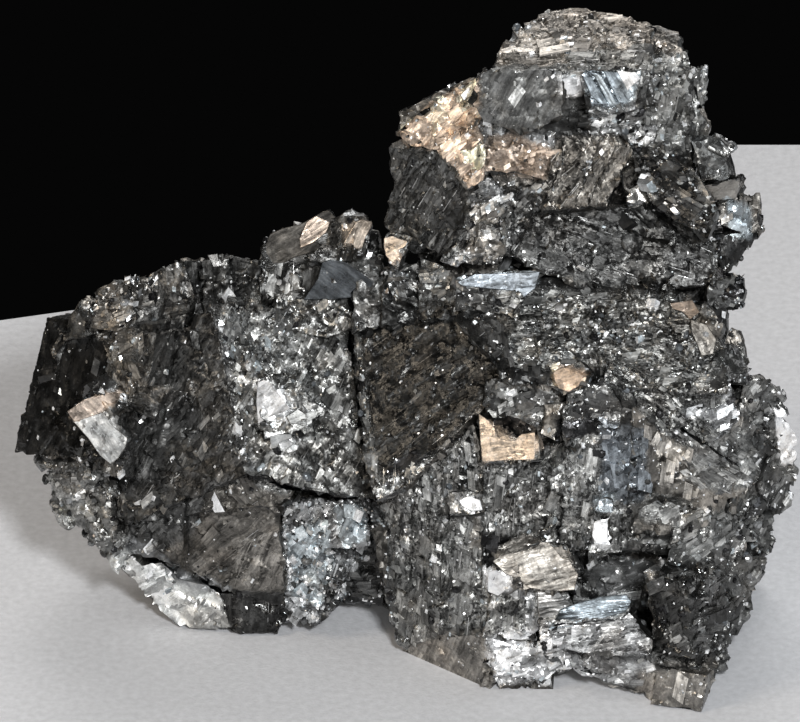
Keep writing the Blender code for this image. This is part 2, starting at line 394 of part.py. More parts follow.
# Small crystals grow over the faces seen from a side. A druse has the side's direction as degrees round
# from the front and up, the part of that side's sheet it covers, its count, and the least and greatest
# width and rise of a crystal.
DRUSES = [
    dict(name="end", side=(0, 30), reach=(-53, 11, -43, 22), count=8, width=(2.4, 4.6), proud=(0.3, 1.1)),
    dict(name="slab", side=(0, 30), reach=(-54, 26, -45, 42), count=3,
         width=(3.0, 6.0), proud=(0.2, 0.6)),
    dict(name="ridge", side=(0, 30), reach=(-48, 43, -23, 51), count=6,
         width=(2.2, 4.2), proud=(0.3, 0.9)),
    dict(name="shade", side=(0, 30), reach=(-39, 20, -28, 42), count=5,
         width=(3.0, 6.5), proud=(0.2, 0.7)),
    dict(name="heart", side=(0, 30), reach=(-26, 21, -9, 44), count=6,
         width=(2.6, 5.5), proud=(0.2, 0.8)),
    dict(name="saddle", side=(0, 30), reach=(-19, 44, 7, 56), count=6,
         width=(2.0, 3.8), proud=(0.3, 0.9)),
    dict(name="terrace", side=(0, 30), reach=(17, 36, 47, 49), count=14,
         width=(2.6, 5.4), proud=(0.3, 1.1)),
    dict(name="crown", side=(0, 30), reach=(18, 83, 41, 89), count=7, width=(2.8, 5.4), proud=(0.2, 0.9)),
    dict(name="wall", side=(0, 30), reach=(36, 53, 50, 80), count=10, width=(2.2, 4.6), proud=(0.3, 1.0)),
    dict(name="edge", side=(0, 30), reach=(45, -6, 57, 33), count=14, width=(2.4, 5.0), proud=(0.3, 1.1)),
    dict(name="front", side=(0, 30), reach=(2, -10, 43, 31), count=8, width=(2.4, 5.4), proud=(0.2, 0.8)),
    dict(name="cheek", side=(0, 30), reach=(0, 56, 33, 79), count=5, width=(2.0, 4.0), proud=(0.2, 0.6)),
    dict(name="behind", side=(180, 12), reach=(-42, 6, 46, 82), count=18,
         width=(4.0, 9.5), proud=(0.4, 1.6)),
    dict(name="left side", side=(-80, 15), reach=(-12, 10, 12, 36), count=4,
         width=(3.0, 6.0), proud=(0.3, 1.0)),
    dict(name="right side", side=(80, 10), reach=(-20, 8, 18, 84), count=7,
         width=(3.0, 6.0), proud=(0.3, 1.2)),
]


def close_cuts(bm):
    """Fill what a cut has opened."""
    bmesh.ops.holes_fill(bm, edges=[edge for edge in bm.edges if edge.is_boundary], sides=0)


def new_solid(name, bm, group):
    """A hidden operand of the union, from a closed bmesh."""
    bmesh.ops.recalc_face_normals(bm, faces=bm.faces)
    mesh = bpy.data.meshes.new(name)
    bm.to_mesh(mesh)
    bm.free()
    solid = bpy.data.objects.new(name, mesh)
    solid.hide_render = True
    solid.display_type = "WIRE"
    group.objects.link(solid)
    return solid


def block(name, at, edges, group):
    """A crystal with three pairs of parallel faces."""
    a, b, c = (step(*edge) for edge in edges)
    middle = place(*at) + (a + b + c) / 2
    frame = Matrix((a, b, c)).transposed().to_4x4()
    bm = bmesh.new()
    bmesh.ops.create_cube(bm, size=1.0, matrix=Matrix.Translation(middle) @ frame)
    return new_solid(name, bm, group)


def plate(name, outline, back, lean, depth, group, taper=PLATE_TAPER):
    """A crystal whose showing face has its own outline. It narrows towards its root by the taper."""
    first_across, first_up = outline[0]
    bm = bmesh.new()
    corners = []
    for across, up in outline:
        behind = back + lean[0] * (across - first_across) + lean[1] * (up - first_up)
        corners.append(bm.verts.new(place(across, up, behind)))
    face = bm.faces.new(corners)
    pushed = bmesh.ops.extrude_face_region(bm, geom=[face])
    moved = [item for item in pushed["geom"] if isinstance(item, bmesh.types.BMVert)]
    middle = sum((vert.co for vert in moved), Vector()) / len(moved)
    bmesh.ops.scale(bm, vec=(taper, taper, taper), space=Matrix.Translation(-middle), verts=moved)
    bmesh.ops.translate(bm, vec=step(*depth), verts=moved)
    return new_solid(name, bm, group)


def rhomb_shear():
    """Leans a unit cube's side so that its cross-section has the mineral's 68 degree angle."""
    shear = Matrix.Identity(4)
    shear[0][1] = 1 / math.tan(RHOMB_ANGLE)
    return shear


def prism(name, middle, size, turn, group):
    """A big crystal with a rhombic cross-section."""
    turned = Euler([math.radians(angle) for angle in turn]).to_matrix().to_4x4()
    sized = Matrix.Diagonal(Vector(size) * MM).to_4x4()
    bm = bmesh.new()
    placed = Matrix.Translation((Vector(middle) - SHEET_CENTRE) * MM) @ turned
    bmesh.ops.create_cube(bm, size=1.0, matrix=placed @ sized @ rhomb_shear())
    return new_solid(name, bm, group)


def tipped_crystal(length, width, slopes):
    """A small crystal along +Z, its root at 0: a rhombic prism whose tip has two faces of unlike slope."""
    bm = bmesh.new()
    bmesh.ops.create_cube(bm, size=1.0)
    bmesh.ops.transform(bm, matrix=Matrix.Translation((0, 0, 0.5)), verts=bm.verts)
    sized = Matrix.Diagonal((width, width * TIP_FLATNESS, length, 1))
    bmesh.ops.transform(bm, matrix=sized @ rhomb_shear(), verts=bm.verts)
    for side, slope in zip((1, -1), slopes):
        everything = bm.verts[:] + bm.edges[:] + bm.faces[:]
        top = (0, side * width * TIP_OFFSET, length)
        facing = (0, side * math.sin(slope), math.cos(slope))
        bmesh.ops.bisect_plane(bm, geom=everything, plane_co=top, plane_no=facing, clear_outer=True)
        close_cuts(bm)
    return bm


def side_axes(side):
    """The sheet's across and up directions and the direction of sight, for a side."""
    about, down = (math.radians(angle) for angle in side)
    sight = Vector((-math.sin(about) * math.cos(down), math.cos(about) * math.cos(down), -math.sin(down)))
    across = Vector((math.cos(about), math.sin(about), 0))
    return across, across.cross(sight), sight


def druse(name, side, reach, count, width, proud, ground, chance, group):
    """Small crystals in nearly parallel growth on the faces of what is there, seen from a side."""
    across, up, sight = side_axes(side)
    grain = chance.uniform(0, math.pi)
    for number in range(count):
        start = across * chance.uniform(reach[0], reach[2]) + up * chance.uniform(reach[1], reach[3])
        start = (start - SHEET_CENTRE) * MM - sight
        spot, normal, _, _ = ground.ray_cast(start, sight)
        wide = chance.uniform(*width) * MM
        rise = chance.uniform(*proud) * MM
        tilt = Vector([chance.gauss(0, DRUSE_TILT) for _ in range(3)])
        spin = grain + chance.gauss(0, DRUSE_SPIN)
        if spot is None or normal.dot(sight) > GRAZING:
            continue
        axis = (normal + tilt).normalized()
        turned = axis.to_track_quat("Z", "Y").to_matrix().to_4x4() @ Matrix.Rotation(spin, 4, "Z")
        bm = tipped_crystal(wide + rise, wide, TIP_SLOPES)
        bmesh.ops.transform(bm, matrix=Matrix.Translation(spot - axis * wide) @ turned, verts=bm.verts)
        new_solid(f"{name} {number}", bm, group)


def join(cluster, group):
    """The crystals of the group and the cluster, grown together."""
    union = cluster.modifiers.new("grown together", "BOOLEAN")
    union.operation = "UNION"
    union.operand_type = "COLLECTION"
    union.collection = group
    union.solver = "EXACT"


def cut_base(cluster, cutters):
    """The flat break that the cluster stands on."""
    bm = bmesh.new()
    bmesh.ops.create_cube(bm, size=CUTTER_SIZE, matrix=Matrix.Translation((0, 0, -CUTTER_SIZE / 2)))
    cut = cluster.modifiers.new("broken base", "BOOLEAN")
    cut.operation = "DIFFERENCE"
    cut.object = new_solid("below_base", bm, cutters)
    cut.solver = "EXACT"


def islands(bm):
    """The parts of a mesh whose faces are joined edge to edge, the one with most faces first."""
    left = set(bm.faces)
    found = []
    while left:
        front = [left.pop()]
        island = set(front)
        while front:
            here = front.pop()
            near = {face for edge in here.edges for face in edge.link_faces} & left
            left -= near
            island |= near
            front.extend(near)
        found.append(island)
    return sorted(found, key=len, reverse=True)


def settle(cluster):
    """Make the modifiers' result the cluster's own mesh, without the pockets sealed between crystals."""
    bpy.context.view_layer.update()
    seen = cluster.evaluated_get(bpy.context.evaluated_depsgraph_get())
    bm = bmesh.new()
    bm.from_mesh(seen.to_mesh())
    bmesh.ops.remove_doubles(bm, verts=bm.verts, dist=CLOSEST)
    bmesh.ops.delete(bm, geom=[edge for edge in bm.edges if edge.is_wire], context="EDGES")
    for pocket in islands(bm)[1:]:
        bmesh.ops.delete(bm, geom=list(pocket), context="FACES")
    cluster.modifiers.clear()
    bm.to_mesh(cluster.data)
    bm.free()


def new_group(name):
    """A collection of the scene."""
    group = bpy.data.collections.new(name)
    bpy.context.scene.collection.children.link(group)
    return group


def finish():
    """The mineral's own look: dark steel grey metal."""
    metal = bpy.data.materials.new("arsenopyrite")
    metal.use_nodes = True
    shader = metal.node_tree.nodes["Principled BSDF"]
    shader.inputs["Base Color"].default_value = (0.21, 0.21, 0.205, 1)
    shader.inputs["Metallic"].default_value = 0.9
    shader.inputs["Roughness"].default_value = 0.38
    return metal


def main():
    """Lays the crystals out, grows them together and cuts the base."""
    for old in list(bpy.data.objects):
        bpy.data.objects.remove(old)
    crystals = new_group("crystals_before_joining")
    for entry in BLOCKS:
        block(group=crystals, **entry)
    for entry in PLATES:
        plate(group=crystals, **entry)
    for entry in PRISMS[1:]:
        prism(group=crystals, **entry)
    cluster = prism(group=new_group("arsenopyrite_specimen"), **PRISMS[0])
    cluster.name = "arsenopyrite_cluster"
    cluster.hide_render = False
    cluster.display_type = "TEXTURED"
    cluster.data.materials.append(finish())
    join(cluster, crystals)
    bpy.context.view_layer.update()
    ground = BVHTree.FromObject(cluster, bpy.context.evaluated_depsgraph_get())
    chance = random.Random(SEED)
    for entry in DRUSES:
        druse(ground=ground, chance=chance, group=crystals, **entry)
    cut_base(cluster, new_group("cutters"))
    settle(cluster)


main()
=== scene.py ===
"""Arsenopyrite specimen: a crystal mass in fine facets, with striae, plates, scales, druse and its stage."""

import json
import math
import random

import bmesh
import bpy
import numpy as np
from mathutils import Matrix, Vector, noise
from mathutils.bvhtree import BVHTree
from mathutils.kdtree import KDTree

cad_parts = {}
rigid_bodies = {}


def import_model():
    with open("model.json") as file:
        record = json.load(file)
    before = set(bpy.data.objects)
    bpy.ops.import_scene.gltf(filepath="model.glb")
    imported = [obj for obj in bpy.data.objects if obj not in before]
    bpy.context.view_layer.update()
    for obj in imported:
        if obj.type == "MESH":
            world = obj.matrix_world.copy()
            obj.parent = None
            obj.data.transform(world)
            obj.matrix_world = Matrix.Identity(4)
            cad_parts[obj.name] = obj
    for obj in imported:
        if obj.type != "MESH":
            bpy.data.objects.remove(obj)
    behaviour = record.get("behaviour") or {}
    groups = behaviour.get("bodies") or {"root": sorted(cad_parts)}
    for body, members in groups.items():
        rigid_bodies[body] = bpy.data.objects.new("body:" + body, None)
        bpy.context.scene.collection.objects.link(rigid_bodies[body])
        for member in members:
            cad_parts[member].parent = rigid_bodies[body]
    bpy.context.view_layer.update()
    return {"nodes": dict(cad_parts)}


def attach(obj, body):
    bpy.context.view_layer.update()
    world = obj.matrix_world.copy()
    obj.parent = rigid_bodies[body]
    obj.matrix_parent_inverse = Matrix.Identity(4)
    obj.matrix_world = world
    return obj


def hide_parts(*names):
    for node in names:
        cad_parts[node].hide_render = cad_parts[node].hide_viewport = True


bl_info = {
    "name": "Arsenopyrite Specimen",
    "version": (1, 0, 0),
    "blender": (4, 5, 0),
    "location": "View3D > Sidebar > Specimen",
    "description": "Facets, striae, scales and druse of an arsenopyrite cluster on a pale sheet",
    "category": "Add Mesh",
}

for leftover in list(bpy.data.objects):
    bpy.data.objects.remove(leftover)
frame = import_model()

NODE = "arsenopyrite_cluster"
BODY = "root"
MM = 0.001

# The specimen is laid out on a sheet seen from 30 degrees above its front: across it and up it, in mm.
PITCH = math.radians(30.0)
SIGHT = Vector((0.0, -math.cos(PITCH), math.sin(PITCH)))
SHEET_CENTRE = (0.75, 1.32)
# How far in front of the specimen the sheet is held when depths are taken, in metres.
SHEET_REACH = 0.3
SEED = 29
# Rounds in which long edges are halved.
SPLITS = 6
# How the mass is probed under a flat crystal: the step and the spread of depths that counts, in mm, the
# per cent of them that lie below the crystal, and the steepest that it may slope.
PROBE_STEP = 0.4
PROBE_SPREAD = 3.5
PROUD_SHARE = 70
STEEPEST = 0.45
# How deep a flat crystal reaches into the mass, and its bevel, in mm.
PLATE_ROOT = 2.0
PLATE_BEVEL = 0.09
# Where a Mix node that mixes colours has its sockets.
MIX_A = 6
MIX_B = 7
MIX_RESULT = 2
# Faces grown at a time.
BATCH_FACES = 600
# How far a face has to turn to the front to be split finely, and to be finished by name.
FRONT_TURN = 0.02
SEEN_TURN = 0.06
# Lengths in mm of the waves and steps that roughen the mass, and how much relief or grain counts in them.
BROAD_WAVE = 4.5
MIDDLE_WAVE = 1.3
FINE_WAVE = 0.55
STRIA_STEP = 1.15
MOST_RELIEF = 1.5
# Corners of the mass below this height aren't moved, so that it stands flat.
BASE_HEIGHT = 0.35 * MM
# The lowest place of a small crystal, and of a plate or growth line, so that the base stays flat.
LOWEST_CRYSTAL = 1.9 * MM
LOWEST_PLATE = 2.5 * MM
# The smallest flat faces that carry plates and growth lines, in square metres.
PLATE_FACE = 6e-6
STRIA_FACE = 8e-6
# The share of crystals that faces turned away from the front carry.
HIDDEN_DRUSE = 0.35
HIDDEN_NUBS = 0.4
HIDDEN_SCALES = 0.45
HIDDEN_STRIAE = 0.4
# The parts of the mass: the crown above this height in mm, and below it three parted at these places across.
PARTS = ("crown", "left_slab", "heart", "right_wall")
CROWN_HEIGHT = 52.0
PART_EDGES = (-9.0, 22.0)
# Axes and sizes in mm of the intergrown blocks that break up the faces.
BLOCK_TURN = Matrix.Rotation(0.62, 3, "X") @ Matrix.Rotation(0.45, 3, "Z")
BLOCK_SIZE = (4.2, 2.0, 2.8)

# Tones of the ore, from the darkest, painted shade of unlit cleavage, to the white of painted glints and
# highlights on mirror faces.
TONES = {
    "soot": (0.020, 0.020, 0.021),
    "coal": (0.034, 0.034, 0.033),
    "dark": (0.050, 0.050, 0.049),
    "dusk": (0.086, 0.086, 0.084),
    "iron": (0.125, 0.126, 0.123),
    "blue": (0.140, 0.154, 0.168),
    "brown": (0.142, 0.134, 0.122),
    "ash": (0.185, 0.186, 0.180),
    "slate": (0.240, 0.241, 0.234),
    "steel": (0.290, 0.296, 0.300),
    "frost": (0.300, 0.340, 0.370),
    "umber": (0.268, 0.250, 0.228),
    "warm": (0.270, 0.256, 0.235),
    "tan": (0.400, 0.330, 0.275),
    "buff": (0.285, 0.235, 0.195),
    "rose": (0.600, 0.520, 0.440),
    "bronze": (0.630, 0.510, 0.410),
    "silver": (0.400, 0.405, 0.405),
    "pale": (0.460, 0.450, 0.430),
    "chalk": (0.540, 0.550, 0.545),
    "ice": (0.530, 0.585, 0.615),
    "white": (0.950, 0.960, 0.970),
}

# Finish of each named face: tone, roughness, glitter, relief, grain angle in degrees, grain depth, outline.
# Many tones paint light: the faces named flash, the column lights, the prow sparkle, the low ice, crown
# patch, crown ice, shoulder chip, right ice, wall ice and ledge top are painted highlights of the lamps, the
# skirt is a painted reflection of the pale sheet, the faces named shade, the dome hollow and the crown pit
# are painted shade, and the crown top and the pocket are made lighter as painted light.
FINISHES = [
    ("left block", "dark", 0.34, 0.10, 0.15, 76, 0.5,
     [(-54, 46), (-59.5, 23), (-50, 21), (-45, 30), (-43, 36), (-45, 43), (-50, 47)]),
    ("tab", "bronze", 0.42, 0.10, 0.2, -52, 0.6,
     [(-49.8, 29.6), (-47, 32.4), (-41.6, 33.6), (-43.8, 30.2), (-47, 27.6)]),
    ("tab end", "pale", 0.40, 0.10, 0.2, -52, 0.6,
     [(-47.4, 28.6), (-43.6, 31), (-40.8, 25.6), (-43.4, 22)]),
    ("left block lumps", "brown", 0.40, 0.80, 1.6, 20, 0.3,
     [(-47, 51), (-37, 51), (-36, 43), (-41, 38), (-46, 42)]),
    ("left foot", "slate", 0.38, 0.7, 1.0, 10, 0.8,
     [(-55, 23), (-44, 22), (-41, 9), (-48, 8), (-55, 14)]),
    ("back ridge", "dusk", 0.40, 0.25, 0.6, 88, 1.0,
     [(-38, 54), (-21, 54), (-21, 46), (-30, 44), (-36, 47)]),
    ("slab shade", "dusk", 0.42, 0.12, 0.55, 55, 1.2,
     [(-41, 46), (-28, 47), (-24, 30), (-22, 20), (-40, 16), (-43, 26), (-39, 36)]),
    ("slab shade bloom", "dusk", 0.46, 0.30, 1.0, 50, 0.6,
     [(-37, 30), (-31, 32), (-27, 24), (-32, 20), (-37, 22)]),
    ("slab face", "ash", 0.36, 0.60, 0.8, 62, 1.3,
     [(-27, 47), (-8, 49), (-5, 30), (-3.5, 17), (-20, 18), (-24, 28)]),
    ("slab face edge", "ash", 0.30, 1.00, 1.3, 75, 0.6,
     [(-26, 42), (-22, 41), (-20, 34), (-21, 22), (-24, 24)]),
    ("slab flash", "silver", 0.42, 0.30, 0.5, 40, 0.3,
     [(-21.5, 36), (-18, 34.5), (-15, 31), (-17, 28.5), (-21.5, 29.5)]),
    ("slab face foot", "ash", 0.40, 0.45, 0.7, 58, 1.4,
     [(-22, 24.2), (-7, 24.6), (-7, 16.4), (-22, 19)]),
    ("slab streak", "iron", 0.40, 0.6, 1.0, 30, 0.6,
     [(-16, 32), (-10, 33), (-9.5, 29), (-15, 28)]),
    ("slab lower flash", "white", 0.40, 0.35, 0.6, 10, 0.3,
     [(-20, 27.4), (-15.4, 26.4), (-15.8, 24.6), (-19.4, 24.4)]),
    ("slab upper flash", "pale", 0.36, 0.90, 1.0, 70, 0.4,
     [(-24.5, 38), (-21.5, 38), (-21, 34), (-24.4, 34)]),
    ("feathered face", "brown", 0.44, 0.08, 0.4, 40, 1.1,
     [(-43, 15), (-30, 16), (-19, 18.5), (-17, 0.5), (-28, 4), (-36, 9)]),
    ("feathered shade", "dusk", 0.40, 0.25, 0.9, 42, 0.9,
     [(-42, 17), (-29, 18), (-31, 12), (-38, 8), (-43, 13)]),
    ("feathered bloom", "warm", 0.44, 0.08, 0.3, 60, 1.2,
     [(-24, 11), (-18, 13), (-17.5, 4), (-22, 2.5), (-25, 6)]),
    ("low sparkle", "steel", 0.30, 1.00, 1.4, 50, 0.8,
     [(-18, 17), (-9, 17), (-4, 12), (-8, 4), (-9, -2.5), (-17, -2)]),
    # The low ice and the low flash are painted highlights of the lamps.
    ("low ice", "ice", 0.34, 1.00, 1.3, 50, 0.2,
     [(-17, 12), (-11, 14), (-10, 7), (-12, 1), (-16, 3)]),
    ("low flash", "ice", 0.40, 0.80, 1.0, 70, 0.2,
     [(-10, 16.3), (-5, 15.8), (-5.2, 10.8), (-8.5, 9.8)]),
    # The skirt's chalk is a painted reflection of the pale sheet in the low faces that turn down to it.
    ("skirt", "chalk", 0.52, 0.15, 0.9, 35, 0.3,
     [(-43.5, 8.6), (-41.4, 9.8), (-36.8, 7.4), (-33.8, 4.6), (-28, 2.8), (-25.4, 1), (-25.6, -4), (-34, -4),
      (-40, 1), (-45, 6)]),
    ("skirt gap", "steel", 0.40, 0.25, 0.8, 35, 0.3,
     [(-41.4, 11.4), (-36.4, 9.4), (-33.6, 6.6), (-28, 4.6), (-26, 3.6), (-28, 2.8), (-33.8, 4.6),
      (-36.8, 7.4), (-41.4, 9.8)]),
    ("glossy foot", "dark", 0.16, 0.05, 0.3, 84, 1.0,
     [(-27.3, 3.4), (-17.5, 3), (-17.3, -4), (-25.5, -4), (-26, -1)]),
    ("saddle face", "dusk", 0.36, 0.1, 0.35, 15, 1.4,
     [(-21, 54), (-16, 60), (-9, 60), (-9, 54), (-12, 53), (-20, 52)]),
    ("saddle blue", "dusk", 0.46, 0.03, 0.1, 70, 0.4,
     [(-14, 49), (-12, 54.5), (-3, 50.3), (-5, 47.6)]),
    ("saddle bronze", "rose", 0.38, 0.10, 0.4, 70, 0.9,
     [(-8.8, 58.6), (-5.6, 59), (-5.8, 55.2), (-8.6, 55.4)]),
    ("saddle chip", "bronze", 0.38, 0.20, 0.7, 20, 0.3,
     [(-2.6, 57.3), (0.4, 57), (0.4, 53), (-2.2, 52.4)]),
    # The crown top's umber is its own brown grey, made lighter as painted light on the top, which the front
    # lamps light little.
    ("crown top", "umber", 0.40, 0.45, 0.75, 8, 1.2,
     [(14, 82.3), (20, 93), (43, 93), (45, 80), (36, 82), (24, 82.4)]),
    ("crown ledge", "ash", 0.40, 0.55, 1.0, 4, 1.6,
     [(25, 82), (37, 82), (38, 85), (26, 84.6)]),
    ("crown face", "iron", 0.38, 0.10, 0.25, 60, 0.8,
     [(12, 82.3), (25, 82), (27.5, 77), (25, 72), (18, 71.5), (11, 74)]),
    ("crown druse", "ash", 0.40, 0.80, 1.2, 80, 0.3,
     [(35, 84), (45.5, 84), (46.5, 74), (42, 66.5), (35, 71), (36, 77)]),
    # The crown patch, the crown ice and its edge are painted highlights of the lamps.
    ("crown patch", "white", 0.44, 0.50, 1.0, 30, 0.3,
     [(23.5, 80.8), (27.3, 80.5), (27.2, 77.5), (24, 77.6)]),
    ("crown ice", "frost", 0.36, 0.15, 0.5, -52, 2.2,
     [(27.5, 81.4), (35.8, 81.3), (34.5, 77), (31.5, 75.5), (28, 76.5)]),
    ("crown ice edge", "ice", 0.40, 0.40, 0.8, -52, 0.6,
     [(33, 81.4), (36, 81.3), (34.6, 76.8), (33.2, 78)]),
    ("crown sparkle", "silver", 0.32, 1.00, 1.2, 10, 0.3,
     [(28.3, 75.5), (36, 76), (36, 70), (29, 70.5)]),
    # The crown pit's coal is painted shade in the pit.
    ("crown pit", "coal", 0.40, 0.20, 1.0, 10, 0.3,
     [(26.2, 78), (28.6, 77.6), (28.4, 74.6), (26.8, 70), (23.6, 70.4), (24.2, 74.4), (26.4, 75)]),
    ("cheek bronze", "bronze", 0.42, 0.45, 1.3, 35, 0.4,
     [(0, 72.5), (5, 77), (11.5, 80.5), (12, 74), (13, 66), (11, 63.4), (9, 65), (6, 69.2), (0.5, 70.2)]),
    ("cheek tan", "buff", 0.48, 0.35, 0.9, 18, 0.8,
     [(12.4, 66.4), (13, 71.6), (17, 72), (24, 69.2), (24, 66.6), (21.8, 65)]),
    ("cheek dark", "iron", 0.34, 0.3, 0.4, 60, 1.2,
     [(-2.5, 70.4), (6, 69.3), (10, 64.5), (11, 61), (9, 54.5), (5, 51), (-3.5, 57)]),
    ("cheek glimmer", "dusk", 0.30, 0.50, 0.8, 60, 0.5,
     [(4, 66), (9.5, 62), (9.8, 57), (7, 56.5), (5, 60)]),
    ("throat", "warm", 0.40, 0.90, 1.3, 30, 0.4,
     [(10.6, 62), (17, 61), (16, 53.6), (10.5, 54)]),
    ("throat flash", "pale", 0.40, 0.60, 1.0, 30, 0.3,
     [(12.4, 57.6), (15, 57.4), (14.8, 54.4), (12.4, 54.8)]),
    ("throat shade", "dusk", 0.40, 0.50, 1.0, 48, 1.6,
     [(15.4, 64), (22, 62), (21, 52), (15.8, 52.2)]),
    ("grooved face", "brown", 0.34, 0.12, 0.4, 50, 1.6,
     [(23, 71.6), (33.4, 72), (35, 69.5), (37, 64), (31, 60.4), (21, 60.6)]),
    ("shoulder", "dark", 0.30, 0.95, 1.0, -38, 0.8,
     [(34.2, 71), (41, 68.5), (45, 65), (49, 58), (46, 55), (38, 61)]),
    # The shoulder chip's white is a painted highlight of the lamps.
    ("shoulder chip", "white", 0.36, 0.40, 0.8, 20, 0.3,
     [(33.6, 72), (38.6, 73.4), (38, 71), (34.6, 70.4)]),
    ("shoulder plate", "pale", 0.34, 0.40, 0.7, 20, 0.3,
     [(33.4, 63), (36, 64.5), (38.6, 62.4), (35, 61)]),
    ("right cube", "ash", 0.28, 0.10, 0.2, 80, 0.4,
     [(43.8, 72), (50.8, 71.5), (50.6, 65.6), (44, 65.4)]),
    ("right cube foot", "warm", 0.34, 0.05, 0.2, 10, 0.3,
     [(44.4, 65.3), (51.6, 65), (49.8, 61.4), (45.8, 61.6)]),
    # The right ice is a painted highlight of the lamps.
    ("right ice", "ice", 0.34, 0.30, 0.8, 80, 0.3,
     [(48.8, 62.5), (52.6, 61), (52.8, 56.4), (49.4, 56.6)]),
    ("chest", "coal", 0.36, 0.15, 0.3, -20, 1.1,
     [(16, 52), (20, 60), (30, 61), (38, 61.5), (46, 55.5), (48, 49.5), (40, 47.6), (22, 51)]),
    ("bright facet", "ice", 0.36, 0.02, 0.1, 12, 0.3,
     [(8.4, 50.4), (21.4, 51.6), (18.4, 46.4), (16.6, 49), (10, 49.1)]),
    ("facet foot", "dusk", 0.38, 0.80, 1.0, 10, 0.6,
     [(8, 48.8), (16.4, 48.8), (18.2, 46), (17, 43), (8, 43)]),
    ("right bronze", "brown", 0.44, 0.2, 0.6, 8, 0.6,
     [(40.5, 47.3), (44.5, 47), (46, 44.5), (48.3, 41.5), (48, 38.8), (44.5, 38.9), (43.5, 42.5),
      (40.8, 44.2)]),
    ("right gloss", "ash", 0.14, 0.05, 0.3, 80, 0.3,
     [(47.2, 41), (53, 40), (53, 34.4), (48, 34.6)]),
    ("right pearl", "iron", 0.24, 0.20, 0.5, 80, 0.3,
     [(43.6, 37.4), (48.4, 37), (48.8, 31), (44.2, 30.6)]),
    ("terrace", "ash", 0.38, 0.5, 0.8, 4, 2.0,
     [(14, 49), (42, 48), (48, 38), (44, 31), (32, 37), (17, 37)]),
    ("terrace light", "iron", 0.40, 0.90, 1.0, 4, 1.6,
     [(26, 44), (38, 45), (39, 41), (27, 40)]),
    ("terrace bronze", "bronze", 0.46, 0.45, 1.0, 20, 0.5,
     [(22.6, 37.4), (27.6, 36.6), (26.8, 32.8), (23.4, 33.4)]),
    ("heart", "coal", 0.32, 0.22, 0.25, 37, 0.8,
     [(-7.2, 44.4), (0, 47), (8, 47), (17, 37.4), (11, 30), (4, 23), (0, 19.8), (-3.8, 16.6)]),
    ("heart foot", "soot", 0.38, 0.30, 0.4, 37, 0.9,
     [(-3.8, 16.6), (0, 19.8), (4, 23), (2, 25), (-5, 19.6)]),
    ("heart rim", "iron", 0.34, 0.80, 1.0, 90, 0.6,
     [(-8.2, 44), (-6.2, 44), (-4.6, 30), (-2.6, 17.4), (-4.4, 16.6), (-6.6, 29)]),
    ("bronze tile", "rose", 0.42, 0.15, 0.35, 5, 0.5,
     [(11.8, 30.4), (12.4, 22.6), (21.4, 23), (21.2, 26.4), (17.4, 26), (14.4, 28)]),
    ("columns", "slate", 0.36, 0.70, 0.8, 88, 2.0,
     [(-4, 20), (2, 22), (11, 28), (12, 20), (10, 9), (-1, 9)]),
    ("column lights", "pale", 0.40, 0.80, 0.8, 88, 1.2,
     [(5.4, 21), (8.6, 21), (8.6, 15), (6, 15)]),
    ("column flash", "white", 0.40, 0.40, 0.8, 88, 0.4,
     [(8.4, 17.8), (10.6, 17.4), (12.8, 16), (12.4, 14.2), (9.8, 15.6)]),
    ("dome", "dusk", 0.26, 0.50, 0.8, -20, 0.3,
     [(22.6, 34.2), (31, 35.4), (34.4, 30.6), (31.6, 27), (28.4, 28.8), (23.8, 28.4)]),
    # The dome hollow's soot is painted shade in the recess.
    ("dome hollow", "soot", 0.26, 0.20, 0.8, 80, 0.3,
     [(23, 29.2), (29.8, 29.4), (29.4, 24.6), (23.4, 24.8)]),
    ("middle wall", "slate", 0.36, 0.60, 0.75, 84, 1.6,
     [(12, 22), (33, 28), (36, 18), (34, 8), (20, 11), (12, 12)]),
    ("middle blue", "blue", 0.30, 0.5, 0.7, 84, 0.9,
     [(30, 29), (37, 28), (37, 16), (30.4, 17)]),
    ("wall flash", "white", 0.46, 0.10, 0.6, 84, 0.2,
     [(28.8, 14.4), (31.6, 14.2), (31.4, 9.6), (29, 9.8)]),
    # The wall ice is a painted highlight of the lamps.
    ("wall ice", "ice", 0.36, 0.20, 0.6, 30, 0.3,
     [(29, 17.6), (32.2, 18), (32, 15), (29.6, 15.2)]),
    ("rib", "ash", 0.32, 0.6, 0.6, -38, 2.6,
     [(31, 38.6), (36, 36.4), (53, 23.4), (50, 20), (40, 27), (30.6, 35)]),
    ("rib foot", "slate", 0.42, 0.60, 1.0, -30, 0.9,
     [(44, 27), (54, 29), (56, 20), (48, 18), (43, 20)]),
    ("petal", "ash", 0.44, 0.10, 0.4, 12, 1.1,
     [(34.8, 15.8), (38.8, 18.2), (44.6, 17.2), (42, 14), (36.8, 13.2)]),
    ("fan", "warm", 0.40, 0.06, 0.3, 22, 1.0,
     [(13.6, 9.2), (19, 12), (25.2, 9.8), (26.2, 6), (21, 4.4), (15.6, 6)]),
    ("fan flash", "white", 0.40, 0.60, 0.9, 22, 0.2,
     [(12.2, 7), (16.6, 7), (16.8, 3.2), (13, 3)]),
    # The ledge top's chalk is a painted highlight.
    ("ledge top", "chalk", 0.56, 0.12, 0.35, 6, 1.8,
     [(20.2, 3.8), (28.4, 2.4), (35.2, 3.4), (35, -0.6), (20.6, -2)]),
    ("ledge face", "silver", 0.34, 0.30, 0.5, 8, 1.6,
     [(20.4, -1.2), (35, -0.4), (38.2, -2.4), (37.6, -6.6), (22.4, -6)]),
    # The pocket's silver is painted light in a recess that the lamps don't reach.
    ("pocket", "silver", 0.30, 0.20, 0.6, 30, 0.3,
     [(27.4, 6.2), (32, 8.8), (38.6, 7.6), (36, 3.6), (30.4, 2.4)]),
